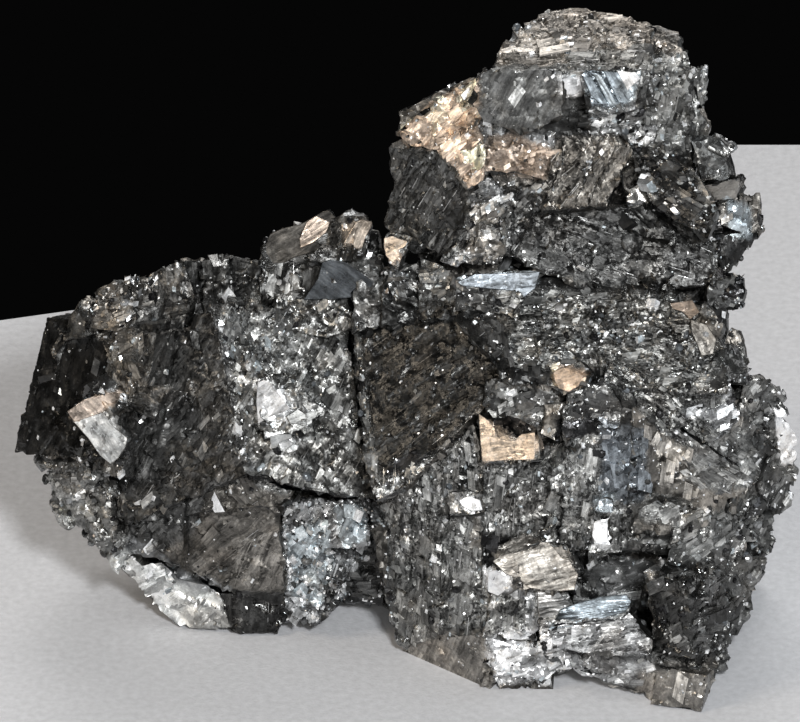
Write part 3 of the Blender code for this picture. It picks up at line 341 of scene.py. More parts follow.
    ("pocket wall", "slate", 0.34, 0.6, 1.2, 30, 0.3,
     [(40.4, 16), (49.6, 15.6), (51, 8.4), (46, 6.4), (41, 8)]),
    ("coal", "dusk", 0.24, 0.35, 1.3, 30, 0.3,
     [(38, 6.6), (43, 8), (49.4, 6), (49.6, -4), (46, -7.6), (38, -7)]),
    ("prow", "warm", 0.42, 0.10, 0.3, 70, 0.8,
     [(0.2, -5.8), (6, -3.4), (12.4, -3), (14.4, -10.6), (13, -12.6), (8, -10.4)]),
    ("prow wall", "ash", 0.34, 0.40, 0.7, 84, 1.5,
     [(-2, 9), (12, 10), (13, 4), (19, 2), (19.6, -4), (8, -2.6), (0.4, -5.4)]),
    ("prow sparkle", "white", 0.38, 0.8, 1.5, 10, 0.3,
     [(12.6, -3.6), (20.6, -2), (27, -6.6), (25.4, -11), (14.4, -10.6)]),
    ("prow flash", "white", 0.42, 0.60, 1.0, 10, 0.2,
     [(12.6, -6), (17.6, -3), (21.8, -3.6), (20.6, -8), (13.6, -8.4)]),
    ("low shelf", "silver", 0.42, 0.60, 1.2, 6, 0.5,
     [(25, -6.6), (38, -7), (40, -11), (27, -10.8)]),
    ("corner", "warm", 0.38, 0.40, 0.6, 80, 0.5,
     [(35.6, -8.6), (46.6, -8.4), (46.8, -16), (36, -15)]),
    ("side druse", "iron", 0.34, 0.70, 1.2, 60, 0.4,
     [(49, 36), (60.5, 36), (61, 6), (52, -4), (47, -9), (50, 14), (54, 22)]),
    ("side flash", "white", 0.44, 0.10, 0.6, 60, 0.2,
     [(56.4, 31), (60.6, 28), (60.8, 22), (57, 22.6)]),
]

# Flat crisp crystals that stand proud of the mass: name, tone, roughness, glitter, grain angle and depth,
# how far they stand out in mm, and outline on the layout sheet. The white, chalk, silver, frost and ice
# tones of the plates are painted highlights of the lamps.
PLATES = [
    ("tab", "tan", 0.42, 0.1, -52, 0.6, 0.45,
     [(-49.9, 30.4), (-47.4, 32.1), (-43.8, 33.1), (-42, 33.1), (-42.1, 32.4), (-43.8, 31), (-44.5, 30.3),
      (-46.2, 29.7), (-48.8, 28.8)]),
    ("tab end", "pale", 0.4, 0.08, -52, 0.5, 0.45,
     [(-49, 28.9), (-46.2, 29.8), (-44.5, 30.3), (-43.2, 28.3), (-40.9, 26.4), (-41.2, 25.1), (-42.3, 23.4),
      (-43.4, 22.5), (-45, 23.8), (-46.8, 26.4)]),
    ("saddle gable", "brown", 0.44, 0.08, 32, 1, 0.3,
     [(-21.4, 52.8), (-20.7, 54.6), (-19.6, 57), (-17.8, 57.9), (-15, 58.5), (-12.8, 59.7), (-11.7, 60.4),
      (-10.7, 60.6), (-9.9, 59.7), (-9, 58.8), (-8.1, 58.5), (-8.8, 57), (-9.6, 56.1), (-11.2, 55.4),
      (-13.2, 54.3), (-15.6, 53.7), (-17.2, 52.8), (-19.2, 52.6)]),
    ("saddle step", "buff", 0.44, 0.08, 32, 1, 0.75,
     [(-14.1, 58.8), (-12.8, 59.7), (-11.7, 60.4), (-10.7, 60.6), (-10, 59.7), (-11.1, 57.3), (-12.9, 55.8),
      (-15, 54.9), (-15.1, 56.4)]),
    ("saddle bronze", "rose", 0.4, 0.08, 60, 0.8, 0.6,
     [(-8.2, 56.1), (-7.5, 57.3), (-6.6, 58.8), (-5.7, 59.2), (-4.2, 58.9), (-4.2, 58.3), (-5.1, 56.7),
      (-5.7, 54.9), (-6.6, 54.8), (-7.3, 55.5), (-8.4, 55.6)]),
    ("saddle chip", "rose", 0.4, 0.08, 20, 0.5, 0.5,
     [(-2.4, 56.4), (-1.2, 56.7), (0.1, 56.2), (1.1, 55.9), (0.9, 55.2), (-0.1, 54.6), (-0.1, 53.5),
      (-1.2, 52.8), (-2.1, 53.7), (-2.4, 55)]),
    ("saddle facet", "blue", 0.36, 0.08, -32, 0.7, 0.4,
     [(-14.5, 47.2), (-12.3, 50.4), (-11.7, 52.8), (-10.5, 53.2), (-8.2, 52.8), (-6, 51.3), (-3.9, 49.8),
      (-4.8, 48.4), (-7.5, 47.5), (-10.5, 47.2)]),
    ("flash upper", "white", 0.42, 0.1, 40, 0.6, 0.4,
     [(-21.4, 34.8), (-20.4, 35.1), (-19.2, 34.5), (-18.3, 33.3), (-17.4, 32.1), (-16.5, 30.9),
      (-17.4, 30.3), (-19.2, 29.7), (-21.3, 28.5), (-21.6, 31.8)]),
    ("flash side", "slate", 0.46, 0.4, 25, 0.9, 0.4,
     [(-15.6, 30.6), (-14.1, 31.9), (-12.6, 31.6), (-11.4, 30.9), (-11.7, 30), (-13.2, 29.1), (-15, 28.5),
      (-16.5, 28.5), (-17.1, 29.7)]),
    ("flash lower", "chalk", 0.44, 0.05, 10, 0.4, 0.5,
     [(-19.5, 26.7), (-18.3, 27), (-16.3, 27), (-16.2, 26.4), (-18, 25.9), (-18.6, 24.9), (-19.3, 24.8)]),
    ("flash chip", "chalk", 0.44, 0.05, 30, 0.4, 0.5,
     [(-17.2, 24.6), (-16.1, 25.5), (-15.1, 25.3), (-15.4, 24.6), (-16.8, 24.1)]),
    ("bronze tile", "rose", 0.42, 0.08, 5, 0.5, 0.45,
     [(11.8, 30.1), (13.2, 29.1), (14.2, 27.9), (14.5, 26.7), (15.8, 26.1), (17.2, 26.1), (18.1, 27),
      (20.2, 27.3), (20.2, 23.2), (12.3, 22.9), (12, 26.1)]),
    ("terrace chip", "bronze", 0.42, 0.15, 20, 0.5, 0.45,
     [(22.9, 36.3), (24.3, 37), (26.1, 36.8), (27.3, 35.7), (26.7, 34.2), (25.2, 33.3), (23.7, 33.9),
      (23.1, 35.1)]),
    ("fan", "warm", 0.42, 0.10, 18, 1.1, 0.45,
     [(13.9, 7.9), (15, 8.7), (18, 9.4), (20.2, 9.8), (21.1, 10.8), (22.3, 10.8), (23.4, 9.6), (24.3, 8.4),
      (25.5, 8.1), (25.9, 7.2), (26.8, 6), (26.2, 3.6), (24, 3.4), (21, 3.6), (19.2, 3.9), (18, 5.1),
      (15.8, 6)]),
    ("fan flash", "white", 0.42, 0.1, 20, 0.3, 0.45,
     [(13.2, 6.3), (14.5, 6.6), (15.8, 5.5), (16.1, 3.6), (14.7, 2.7), (13.2, 3.3)]),
    # The ice strips, the ice corner and the crown patch are painted highlights of the lamps.
    ("ice strip left", "frost", 0.38, 0.05, -55, 1, 0.35,
     [(27.3, 80.4), (28.5, 80.4), (31.2, 76.2), (30, 76.3), (28.5, 77.7)]),
    ("ice strip middle", "ice", 0.38, 0.05, -55, 1, 0.5,
     [(28.9, 80.8), (30, 80.7), (32.5, 76.2), (31.3, 76.2)]),
    ("ice strip right", "frost", 0.36, 0.05, -55, 1.2, 0.4,
     [(30.4, 81.3), (32.4, 81.1), (34.8, 77.7), (33.9, 76.5), (32.7, 76.5)]),
    ("ice corner", "white", 0.42, 0.05, -55, 0.4, 0.5,
     [(32.4, 81.3), (35.4, 81), (36, 80.1), (34.8, 79.2), (34, 78.3)]),
    ("crown patch", "white", 0.44, 0.15, 30, 0.3, 0.45,
     [(24, 80.1), (25.1, 80.4), (27, 80.1), (27.3, 78.6), (26.1, 77.7), (24.9, 77.7), (24, 78.6)]),
    # The ledge plates' silver and frost are painted highlights.
    ("ledge bright", "silver", 0.50, 0.1, 6, 1.2, 0.5,
     [(20.6, 3.3), (23.7, 3.4), (25.8, 1.3), (24.1, 0.6), (23.4, -0.6), (21.8, -1.9), (21, -1.1),
      (20.7, 0.9)]),
    ("ledge plate", "frost", 0.46, 0.2, 8, 1.6, 0.4,
     [(25.8, 1.3), (30, 2.5), (34, 2.9), (34.8, 1.8), (33.9, 0.3), (30, -0.8), (26.2, -1.8), (22.2, -2.4),
      (23.4, -0.6), (24.1, 0.6)]),
    ("right step", "tan", 0.46, 0.25, 10, 0.5, 0.45,
     [(40.5, 46.6), (43.8, 47.1), (44.9, 45.3), (43.5, 44.2), (42.4, 45.3), (40.8, 45.8)]),
    ("right bronze", "brown", 0.46, 0.35, -50, 0.5, 0.45,
     [(43.5, 44.2), (45.9, 43.4), (47.4, 41.2), (46.9, 39), (45.1, 38.7), (44.5, 40.4), (43.6, 42.4)]),
    ("bright facet", "blue", 0.46, 0.20, 8, 0.9, 0.35,
     [(8.5, 49.8), (11.2, 51), (21, 51.3), (20.2, 48.8), (18.1, 47.1), (17.1, 48.4), (9.3, 49.2)]),
    ("wall flash", "white", 0.46, 0.05, 84, 0.2, 0.5,
     [(29.1, 13.8), (30, 14.1), (31.2, 13.5), (31.2, 10.7), (29.4, 10.5), (28.8, 11.7)]),
    ("column flash", "white", 0.44, 0.1, 88, 0.3, 0.45,
     [(8.8, 17.1), (10.2, 17.7), (12, 17.1), (12.4, 15.6), (10.8, 15.4), (9.3, 16.2)]),
]

# The corners of the pale sheet, in metres.
FLOOR = [
    (-0.9, -1.2), (0.9, -1.2), (0.9, 0.142), (0.040, 0.142), (0.021, 0.103), (-0.006, 0.103), (-0.9, -0.149),
]

# The lamps: name, azimuth and elevation in degrees, distance and size in metres, energy in watts, colour.
LAMPS = [
    ("Key", 11, 36, 1.20, 0.14, 13.0, (0.97, 0.985, 1.0)),
    ("Front Fill", -6, 22, 1.30, 0.60, 4.6, (1.0, 0.985, 0.96)),
    ("Warm Side", -62, 42, 1.00, 0.30, 2.6, (1.0, 0.87, 0.72)),
    ("Right Fill", 75, 30, 1.10, 0.50, 2.6, (0.90, 0.95, 1.0)),
    ("Back Fill", 165, 14, 1.30, 0.60, 2.4, (1.0, 0.99, 0.98)),
    ("Ceiling", 180, 56, 1.60, 0.80, 10.0, (1.0, 0.98, 0.96)),
]
LAMP_TARGET = Vector((0.0, 0.0, 0.045))
CAMERA_AIM = Vector((-0.75, -13.32, 50.75)) * MM

# Tones of the faces that have no name, with how often each one comes and how it is finished.
COMMON = [
    ("dark", 0.24, 0.36, 0.35),
    ("iron", 0.36, 0.38, 0.70),
    ("brown", 0.13, 0.40, 0.60),
    ("steel", 0.13, 0.34, 0.90),
    ("warm", 0.10, 0.42, 0.60),
    ("soot", 0.04, 0.28, 0.30),
]


def length_setting(name, description, default):
    """A length that can be set."""
    return bpy.props.FloatProperty(
        name=name, description=description, default=default, unit="LENGTH", precision=5)


def count_setting(name, description, default):
    """A count that can be set."""
    return bpy.props.IntProperty(name=name, description=description, default=default)


def colour_setting(name, description, default):
    """A colour that can be set."""
    return bpy.props.FloatVectorProperty(
        name=name, description=description, default=default, subtype="COLOR")


class MassSettings(bpy.types.PropertyGroup):
    """How finely the crystal mass is split, and how rough its faces are."""

    front_edge: length_setting("Front Edge", "Longest edge of the facets that face the front", 0.00080)
    back_edge: length_setting("Back Edge", "Longest edge of the facets behind", 0.0016)
    swell: length_setting("Swell", "Height of the broad waves on a face", 0.00022)
    chatter: length_setting("Chatter", "Height of the broken grain on a face", 0.00007)
    block_lift: length_setting("Block Lift", "How far the blocks stand proud of each other", 0.00055)
    terrace: length_setting("Terrace", "Height of the growth steps along the striae", 0.00010)


class GrowthSettings(bpy.types.PropertyGroup):
    """Sizes and numbers of the small crystals that cover the mass."""

    druse_count: count_setting("Druse Crystals", "Number of small crystals", 10000)
    druse_size: length_setting("Druse Size", "Middle size of a small crystal", 0.00034)
    nub_count: count_setting("Nubs", "Number of rounded crystals", 650)
    scale_count: count_setting("Scales", "Number of thin overlapping plates", 3600)
    stria_count: count_setting("Striae", "Number of raised growth lines", 1500)


class StageSettings(bpy.types.PropertyGroup):
    """The sheet, the room and the camera."""

    cloth: colour_setting("Cloth", "Colour of the pale sheet", (0.520, 0.524, 0.540))
    backdrop: colour_setting("Backdrop", "Colour of the dark room", (0.0018, 0.0018, 0.0018))
    camera_distance: length_setting("Camera Distance", "From the camera to the specimen", 4.0)


def unit_random(count, seed):
    """count evenly spread numbers from 0 to 1, alike in each run."""
    return np.random.default_rng(seed).random(count)


def sheet_place(points):
    """Places on the layout sheet, in mm, of an array of points in metres."""
    across = points[:, 0] / MM + SHEET_CENTRE[0]
    depth = points[:, 1] / MM + SHEET_CENTRE[1]
    up = depth * math.sin(PITCH) + points[:, 2] / MM * math.cos(PITCH)
    return across, up


def within(across, up, outline):
    """Which of the places lie inside an outline."""
    inside = np.zeros(len(across), bool)
    previous = outline[-1]
    for corner in outline:
        (x0, y0), (x1, y1) = previous, corner
        crosses = (y0 > up) != (y1 > up)
        height = (y1 - y0) or 1e-9
        inside ^= crosses & (across < (x1 - x0) * (up - y0) / height + x0)
        previous = corner
    return inside


def clean_copy():
    """The CAD mass as a bmesh of whole flat faces."""
    shape = bmesh.new()
    shape.from_mesh(frame["nodes"][NODE].data)
    bmesh.ops.remove_doubles(shape, verts=shape.verts, dist=1e-6)
    bmesh.ops.recalc_face_normals(shape, faces=shape.faces)
    bmesh.ops.dissolve_limit(shape, angle_limit=math.radians(0.5), verts=shape.verts, edges=shape.edges)
    return shape


def split_finely(shape, settings):
    """Splits the mass into small triangles, finer in front; a layer keeps which flat face each is from."""
    facet = shape.faces.layers.int.new("facet")
    front = shape.edges.layers.int.new("front")
    for number, face in enumerate(shape.faces):
        face[facet] = number
    bmesh.ops.triangulate(shape, faces=shape.faces)
    reach = (settings.back_edge, settings.front_edge)
    for _ in range(SPLITS):
        for edge in shape.edges:
            edge[front] = int(any(face.normal.dot(SIGHT) > FRONT_TURN for face in edge.link_faces))
        long_edges = [edge for edge in shape.edges if edge.calc_length() > reach[edge[front]]]
        bmesh.ops.subdivide_edges(shape, edges=long_edges, cuts=1)
        bmesh.ops.triangulate(shape, faces=[face for face in shape.faces if len(face.verts) > 3])
        flat = [edge for edge in shape.edges if edge.is_manifold and same_facet(edge, facet)]
        bmesh.ops.beautify_fill(shape, faces=shape.faces, edges=flat)
    return facet


def same_facet(edge, layer):
    """Whether both faces at an edge come from one flat face."""
    first, second = edge.link_faces
    return first[layer] == second[layer]


def facet_facts(shape, generator):
    """Normal, area and grain of each flat face: the direction along its striae and how deep they are."""
    zones = [Vector((0.10, 0.32, 0.94)), Vector((0.86, -0.24, 0.45)), Vector((-0.48, 0.62, 0.62))]
    facts = []
    for face in shape.faces:
        zone = zones[generator.choice((0, 0, 1, 2))]
        along = face.normal.cross(zone)
        if along.length < 0.1:
            along = face.normal.cross(zones[1])
        along = face.normal.cross(along.normalized())
        facts.append({
            "normal": face.normal.copy(),
            "area": face.calc_area(),
            "along": along.normalized(),
            "depth": generator.choice((0.2, 0.4, 0.8)),
        })
    return facts


def sheet_direction(angle, normal):
    """The direction in a face that is seen at an angle on the layout sheet."""
    rise = math.sin(angle)
    flat = Vector((math.cos(angle), rise * math.sin(PITCH), rise * math.cos(PITCH)))
    return (flat - SIGHT * (flat.dot(normal) / max(SIGHT.dot(normal), 0.2))).normalized()


def read_values(items, name, width):
    """A value of every corner or face of a mesh, as rows of this width."""
    values = np.empty(len(items) * width)
    items.foreach_get(name, values)
    return values.reshape(-1, width)


def read_faces(mesh):
    """Centres, normals and areas of the faces of a mesh."""
    centres = read_values(mesh.polygons, "center", 3)
    normals = read_values(mesh.polygons, "normal", 3)
    return centres, normals, read_values(mesh.polygons, "area", 1)[:, 0]


def read_corners(mesh):
    """Which corner of the mesh each corner of its triangles is."""
    corners = np.empty(len(mesh.loops), np.int64)
    mesh.loops.foreach_get("vertex_index", corners)
    return corners


def mesh_from(shape, name):
    """A mesh made of a bmesh, which is let go."""
    mesh = bpy.data.meshes.new(name)
    shape.to_mesh(mesh)
    shape.free()
    return mesh


def block_at(place):
    """The intergrown block at a place in mm: its centre in block sizes, and the way from there in mm."""
    turned = BLOCK_TURN @ place
    spot = Vector([turned[axis] / BLOCK_SIZE[axis] for axis in range(3)])
    _, centres = noise.voronoi(spot, distance_metric="MANHATTAN")
    away = Vector([(spot[axis] - centres[0][axis]) * BLOCK_SIZE[axis] for axis in range(3)])
    return centres[0], away


def lay_finishes(mesh, facets, facts):
    """Tone, grain, glitter and relief of every small face: by its flat face, then by the named faces."""
    centres, normals, areas = read_faces(mesh)
    generator = random.Random(SEED)
    names = [entry[0] for entry in COMMON]
    weights = [entry[1] for entry in COMMON]
    picks = [COMMON[names.index(generator.choices(names, weights)[0])] for _ in facts]
    tone = np.array([TONES[pick[0]] + (pick[2],) for pick in picks])[facets]
    glitter = np.array([pick[3] for pick in picks])[facets]
    relief = np.array([0.7 + 0.6 * pick[3] for pick in picks])[facets]
    along = np.array([fact["along"] for fact in facts])[facets]
    depth = np.array([fact["depth"] for fact in facts])[facets]
    across, up = sheet_place(centres)
    noise.seed_set(SEED)
    ragged = np.array([noise.noise_vector(Vector(centre) / (1.6 * MM)) for centre in centres])
    across = across + 0.2 * ragged[:, 0]
    up = up + 0.2 * ragged[:, 1]
    seen = normals @ np.array(SIGHT) > SEEN_TURN
    # Named faces overwrite the tone, painted light included: highlights, the sheet's reflection and shade in
    # hollows.
    for _, name, rough, sparkle, height, angle, groove, outline in FINISHES:
        chosen = seen & within(across, up, outline)
        tone[chosen] = TONES[name] + (rough,)
        glitter[chosen] = sparkle
        relief[chosen] = height
        depth[chosen] = groove
        for number in np.unique(facets[chosen]):
            own = chosen & (facets == number)
            along[own] = sheet_direction(math.radians(angle), facts[number]["normal"])
    blocks = np.array([block_at(Vector(centre) / MM)[0] for centre in centres])
    own_values = np.array([noise.cell_vector(Vector(block)) for block in blocks])
    calm = np.clip(relief, 0.0, 1.2)[:, None]
    tone[:, :3] *= 1.0 + calm * (0.62 + 1.2 * own_values[:, :1] ** 2 - 1.0)
    tone[:, 3:] += calm * (own_values[:, 1:2] - 0.5) * 0.16
    tone[:, :3] = np.minimum(tone[:, :3], 0.97)
    _, pieces = np.unique(np.round(np.column_stack((blocks, facets)), 4), axis=0, return_inverse=True)
    grain = np.cross(normals, along)
    grain /= np.maximum(np.linalg.norm(grain, axis=1), 1e-6)[:, None]
    return {
        "tone": tone, "glitter": glitter, "relief": relief, "depth": depth, "along": along,
        "grain": grain * np.maximum(depth, 0.02)[:, None],
        "centres": centres, "normals": normals, "areas": areas, "seen": seen, "pieces": pieces.reshape(-1),
    }


def corner_values(mesh, values):
    """Values of the faces, averaged at their corners."""
    corners = read_corners(mesh)
    repeated = np.repeat(values, 3, axis=0)
    count = np.maximum(np.bincount(corners, minlength=len(mesh.vertices)), 1)
    if values.ndim == 1:
        return np.bincount(corners, repeated, len(mesh.vertices)) / count
    columns = [np.bincount(corners, column, len(mesh.vertices)) / count for column in repeated.T]
    return np.stack(columns, 1)


def crease_corners(mesh, facets):
    """Which corners lie where flat faces meet."""
    corners = read_corners(mesh)
    repeated = np.repeat(facets, 3)
    low = np.full(len(mesh.vertices), len(facets))
    high = np.zeros(len(mesh.vertices), int)
    np.minimum.at(low, corners, repeated)
    np.maximum.at(high, corners, repeated)
    return low != high


def crease_tree(mesh, facets):
    """The corners on the creases, to look up how far a place is from the nearest."""
    chosen = read_values(mesh.vertices, "co", 3)[crease_corners(mesh, facets)]
    tree = KDTree(len(chosen))
    for number, place in enumerate(chosen):
        tree.insert(place, number)
    tree.balance()
    return tree


def roughen(mesh, facets, finish, settings):
    """Moves every corner of the mass along its normal: waves, broken grain, blocks and striated steps."""
    original = read_values(mesh.vertices, "co", 3)
    outward = read_values(mesh.vertex_normals, "vector", 3)
    relief = corner_values(mesh, finish["relief"])
    grain = corner_values(mesh, finish["grain"])
    depth = np.linalg.norm(grain, axis=1)
    unit = grain / np.maximum(depth, 1e-6)[:, None]
    step = (original * unit).sum(1) / (STRIA_STEP * MM)
    crease = crease_corners(mesh, facets)
    height = np.empty(len(original))
    for number, place in enumerate(original):
        spot = Vector(place) / MM
        broad = noise.noise(spot / BROAD_WAVE)
        block, away = block_at(spot)
        tilt = noise.cell_vector(block) - Vector((0.5, 0.5, 0.5))
        middle = noise.noise(spot / MIDDLE_WAVE)
        fine = noise.noise(spot / FINE_WAVE)
        level = noise.cell(Vector((step[number] + 1.2 * broad, 3.0, 7.0)))
        wear = max(0.0, middle + 0.2) if crease[number] else 0.0
        height[number] = (
            relief[number] * (settings.swell * broad + settings.chatter * (1.2 * middle + fine))
            + settings.terrace * min(depth[number], MOST_RELIEF) * (level - 0.5)
            + settings.block_lift * min(relief[number], MOST_RELIEF) * (away.dot(tilt) + 0.6 * tilt.z)
            - 1.6 * settings.swell * wear
        )
    jitter = unit_random(len(original) * 3, SEED + 1).reshape(-1, 3) - 0.5
    places = original + outward * height[:, None]
    places = places + jitter * (0.8 * settings.chatter * relief)[:, None]
    base = places[:, 2] < BASE_HEIGHT
    places[base] = original[base]
    mesh.vertices.foreach_set("co", places.ravel())
    mesh.update()


def write_finish(mesh, tone, grain, glitter, domain):
    """Keeps tone, grain and glitter on the faces or the corners of a mesh, for its material."""
    colour = mesh.attributes.new("tone", "FLOAT_COLOR", domain)
    colour.data.foreach_set("color", np.asarray(tone, np.float32).ravel())
    lines = mesh.attributes.new("grain", "FLOAT_VECTOR", domain)
    lines.data.foreach_set("vector", np.asarray(grain, np.float32).ravel())
    spark = mesh.attributes.new("glitter", "FLOAT", domain)
    spark.data.foreach_set("value", np.asarray(glitter, np.float32).ravel())


def blended(mesh, pieces, values):
    """Values of small faces carried to their corners, and blended within each block only."""
    corners = read_corners(mesh)
    keys = corners * (pieces.max() + 1) + np.repeat(pieces, 3)
    _, places = np.unique(keys, return_inverse=True)
    count = np.bincount(places)
    rows = np.repeat(values.reshape(len(values), -1), 3, axis=0)
    means = [(np.bincount(places, column) / count)[places] for column in rows.T]
    return np.stack(means, 1).reshape((-1,) + values.shape[1:])


def soften(mesh, pieces):
    """Shades each block's faces smoothly and leaves the edges between blocks sharp."""
    shape = bmesh.new()
    shape.from_mesh(mesh)
    for face in shape.faces:
        face.smooth = True
    shape.faces.ensure_lookup_table()
    for edge in shape.edges:
        owners = {int(pieces[face.index]) for face in edge.link_faces}
        edge.smooth = len(owners) < 2
    shape.to_mesh(mesh)
    shape.free()


def dress(piece, material):
    """Gives a piece its finish and its place in the frame."""
    piece.data.materials.clear()
    piece.data.materials.append(material)
    bpy.context.scene.collection.objects.link(piece)
    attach(piece, BODY)
    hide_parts(NODE)


def new_group(name, inputs, outputs):
    """An empty shader node group with its sockets, given by label and kind."""
    group = bpy.data.node_groups.new(name, "ShaderNodeTree")
    for in_out, sockets in (("INPUT", inputs), ("OUTPUT", outputs)):
        for label, kind in sockets.items():
            group.interface.new_socket(name=label, in_out=in_out, socket_type="NodeSocket" + kind)
    start = group.nodes.new("NodeGroupInput")
    end = group.nodes.new("NodeGroupOutput")
    return group, start.outputs, end


def feed(tree, node, inputs):
    """Links sockets to the inputs of a node, or sets them to values."""
    for label, value in inputs.items():
        if isinstance(value, bpy.types.NodeSocket):
            tree.links.new(value, node.inputs[label])
        else:
            node.inputs[label].default_value = value
    return node


def new_node(tree, kind, inputs):
    """A shader node with its inputs."""
    return feed(tree, tree.nodes.new("ShaderNode" + kind), inputs)


def group_node(tree, group, inputs):
    """A node that holds a group, with its inputs."""
    node = tree.nodes.new("ShaderNodeGroup")
    node.node_tree = group
    return feed(tree, node, inputs).outputs


def math_node(tree, operation, first, second, clamp=False):
    """A Math node fed by sockets or numbers."""
    node = new_node(tree, "Math", {0: first, 1: second})
    node.operation = operation
    node.use_clamp = clamp
    return node.outputs["Value"]


def times(tree, first, second):
    """One number times another."""
    return math_node(tree, "MULTIPLY", first, second)


def plus(tree, first, second):
    """One number and another."""
    return math_node(tree, "ADD", first, second)


def vector_node(tree, operation, *values):
    """A Vector Math node fed by sockets or vectors."""
    node = new_node(tree, "VectorMath", dict(enumerate(values)))
    node.operation = operation
    return node.outputs["Value" if operation in ("DOT_PRODUCT", "LENGTH") else "Vector"]


def scale_node(tree, vector, factor):
    """A vector times a number."""
    node = tree.nodes.new("ShaderNodeVectorMath")
    node.operation = "SCALE"
    return feed(tree, node, {0: vector, "Scale": factor}).outputs["Vector"]


def noise_node(tree, place, scale, detail):
    """A Noise texture."""
    return new_node(tree, "TexNoise", {"Vector": place, "Scale": scale, "Detail": detail}).outputs["Fac"]


def range_node(tree, value, low, high, to_low, to_high):
    """A Map Range node."""
    limits = {"From Min": low, "From Max": high, "To Min": to_low, "To Max": to_high}
    return new_node(tree, "MapRange", {"Value": value, **limits}).outputs["Result"]


def cell_node(tree, place, scale, metric):
    """A Voronoi texture."""
    node = new_node(tree, "TexVoronoi", {"Vector": place, "Scale": scale})
    node.distance = metric
    return node.outputs


def bump_node(tree, height, strength, distance, inputs):
    """A normal bent by a height."""
    inputs = {"Height": height, "Strength": strength, "Distance": distance, **inputs}
    return new_node(tree, "Bump", inputs).outputs["Normal"]


def glint_mask(group, cells, reach, widest):
    """Which cells are mirror facets that are painted white as glints, cut down to their middles."""
    chance = new_node(group, "TexWhiteNoise", {"Vector": cells["Position"]})
    chance.noise_dimensions = "3D"
    lucky = math_node(group, "LESS_THAN", chance.outputs["Value"], reach)
    size = vector_node(group, "DOT_PRODUCT", chance.outputs["Color"], (0.0, 0.6, 0.4))
    size = range_node(group, size, 0.2, 0.8, 0.3 * widest, widest)
    return times(group, lucky, math_node(group, "LESS_THAN", cells["Distance"], size))


def glitter_group():
    """Small facets that tip from cell to cell, and among them mirror ones, given by the mask, that the
    material paints white as glints.
    """
    group, given, end = new_group(
        "Ore Glitter",
        {"Place": "Vector", "Amount": "Float", "Painted Glint Share": "Float"},
        {"Normal": "Vector", "Mask": "Float", "Level": "Float", "Polish": "Float"})
    half = (0.5, 0.5, 0.5)
    turn = group.nodes.new("ShaderNodeVectorRotate")
    turn.rotation_type = "EULER_XYZ"
    feed(group, turn, {"Vector": given["Place"], "Rotation": (0.62, 0.2, 0.45)})
    bent = new_node(group, "TexNoise", {"Vector": given["Place"], "Scale": 900.0})
    wave = vector_node(group, "SUBTRACT", bent.outputs["Color"], half)
    wave = vector_node(group, "MULTIPLY", wave, (0.0006, 0.0006, 0.0006))
    warped = vector_node(group, "ADD", turn.outputs["Vector"], wave)
    flakes = cell_node(group, warped, 760.0, "CHEBYCHEV")
    specks = cell_node(group, warped, 2600.0, "MANHATTAN")
    grains = cell_node(group, warped, 1250.0, "MANHATTAN")
    # How many cells are painted white as glints: the painted glint share times the amount, clustered by
    # noise.
    crowd = range_node(group, noise_node(group, given["Place"], 260.0, 3.0), 0.42, 0.62, 0.12, 1.5)
    reach = times(group, times(group, given["Amount"], given["Painted Glint Share"]), crowd)
    small = glint_mask(group, specks, reach, 0.8)
    large = glint_mask(group, grains, times(group, reach, 0.35), 0.5)
    mask = math_node(group, "MAXIMUM", small, large)
    broad = vector_node(group, "SUBTRACT", flakes["Color"], half)
    fine = vector_node(group, "SUBTRACT", specks["Color"], half)
    strength = plus(group, times(group, given["Amount"], 0.60), 0.10)
    surface = new_node(group, "NewGeometry", {})
    tipped = vector_node(group, "ADD", surface.outputs["Normal"], scale_node(group, broad, strength))
    sway = plus(group, times(group, mask, 0.6), 0.14)
    tipped = vector_node(group, "ADD", tipped, scale_node(group, fine, sway))
    shade = times(group, vector_node(group, "DOT_PRODUCT", broad, (0.6, 0.8, 0.0)), given["Amount"])
    polish = vector_node(group, "DOT_PRODUCT", broad, (0.0, 0.0, 0.22))
    feed(group, end, {
        "Normal": vector_node(group, "NORMALIZE", tipped),
        "Mask": mask,
        "Level": plus(group, shade, 1.0),
        "Polish": math_node(group, "SUBTRACT", polish, times(group, mask, 0.06)),
    })
    return group


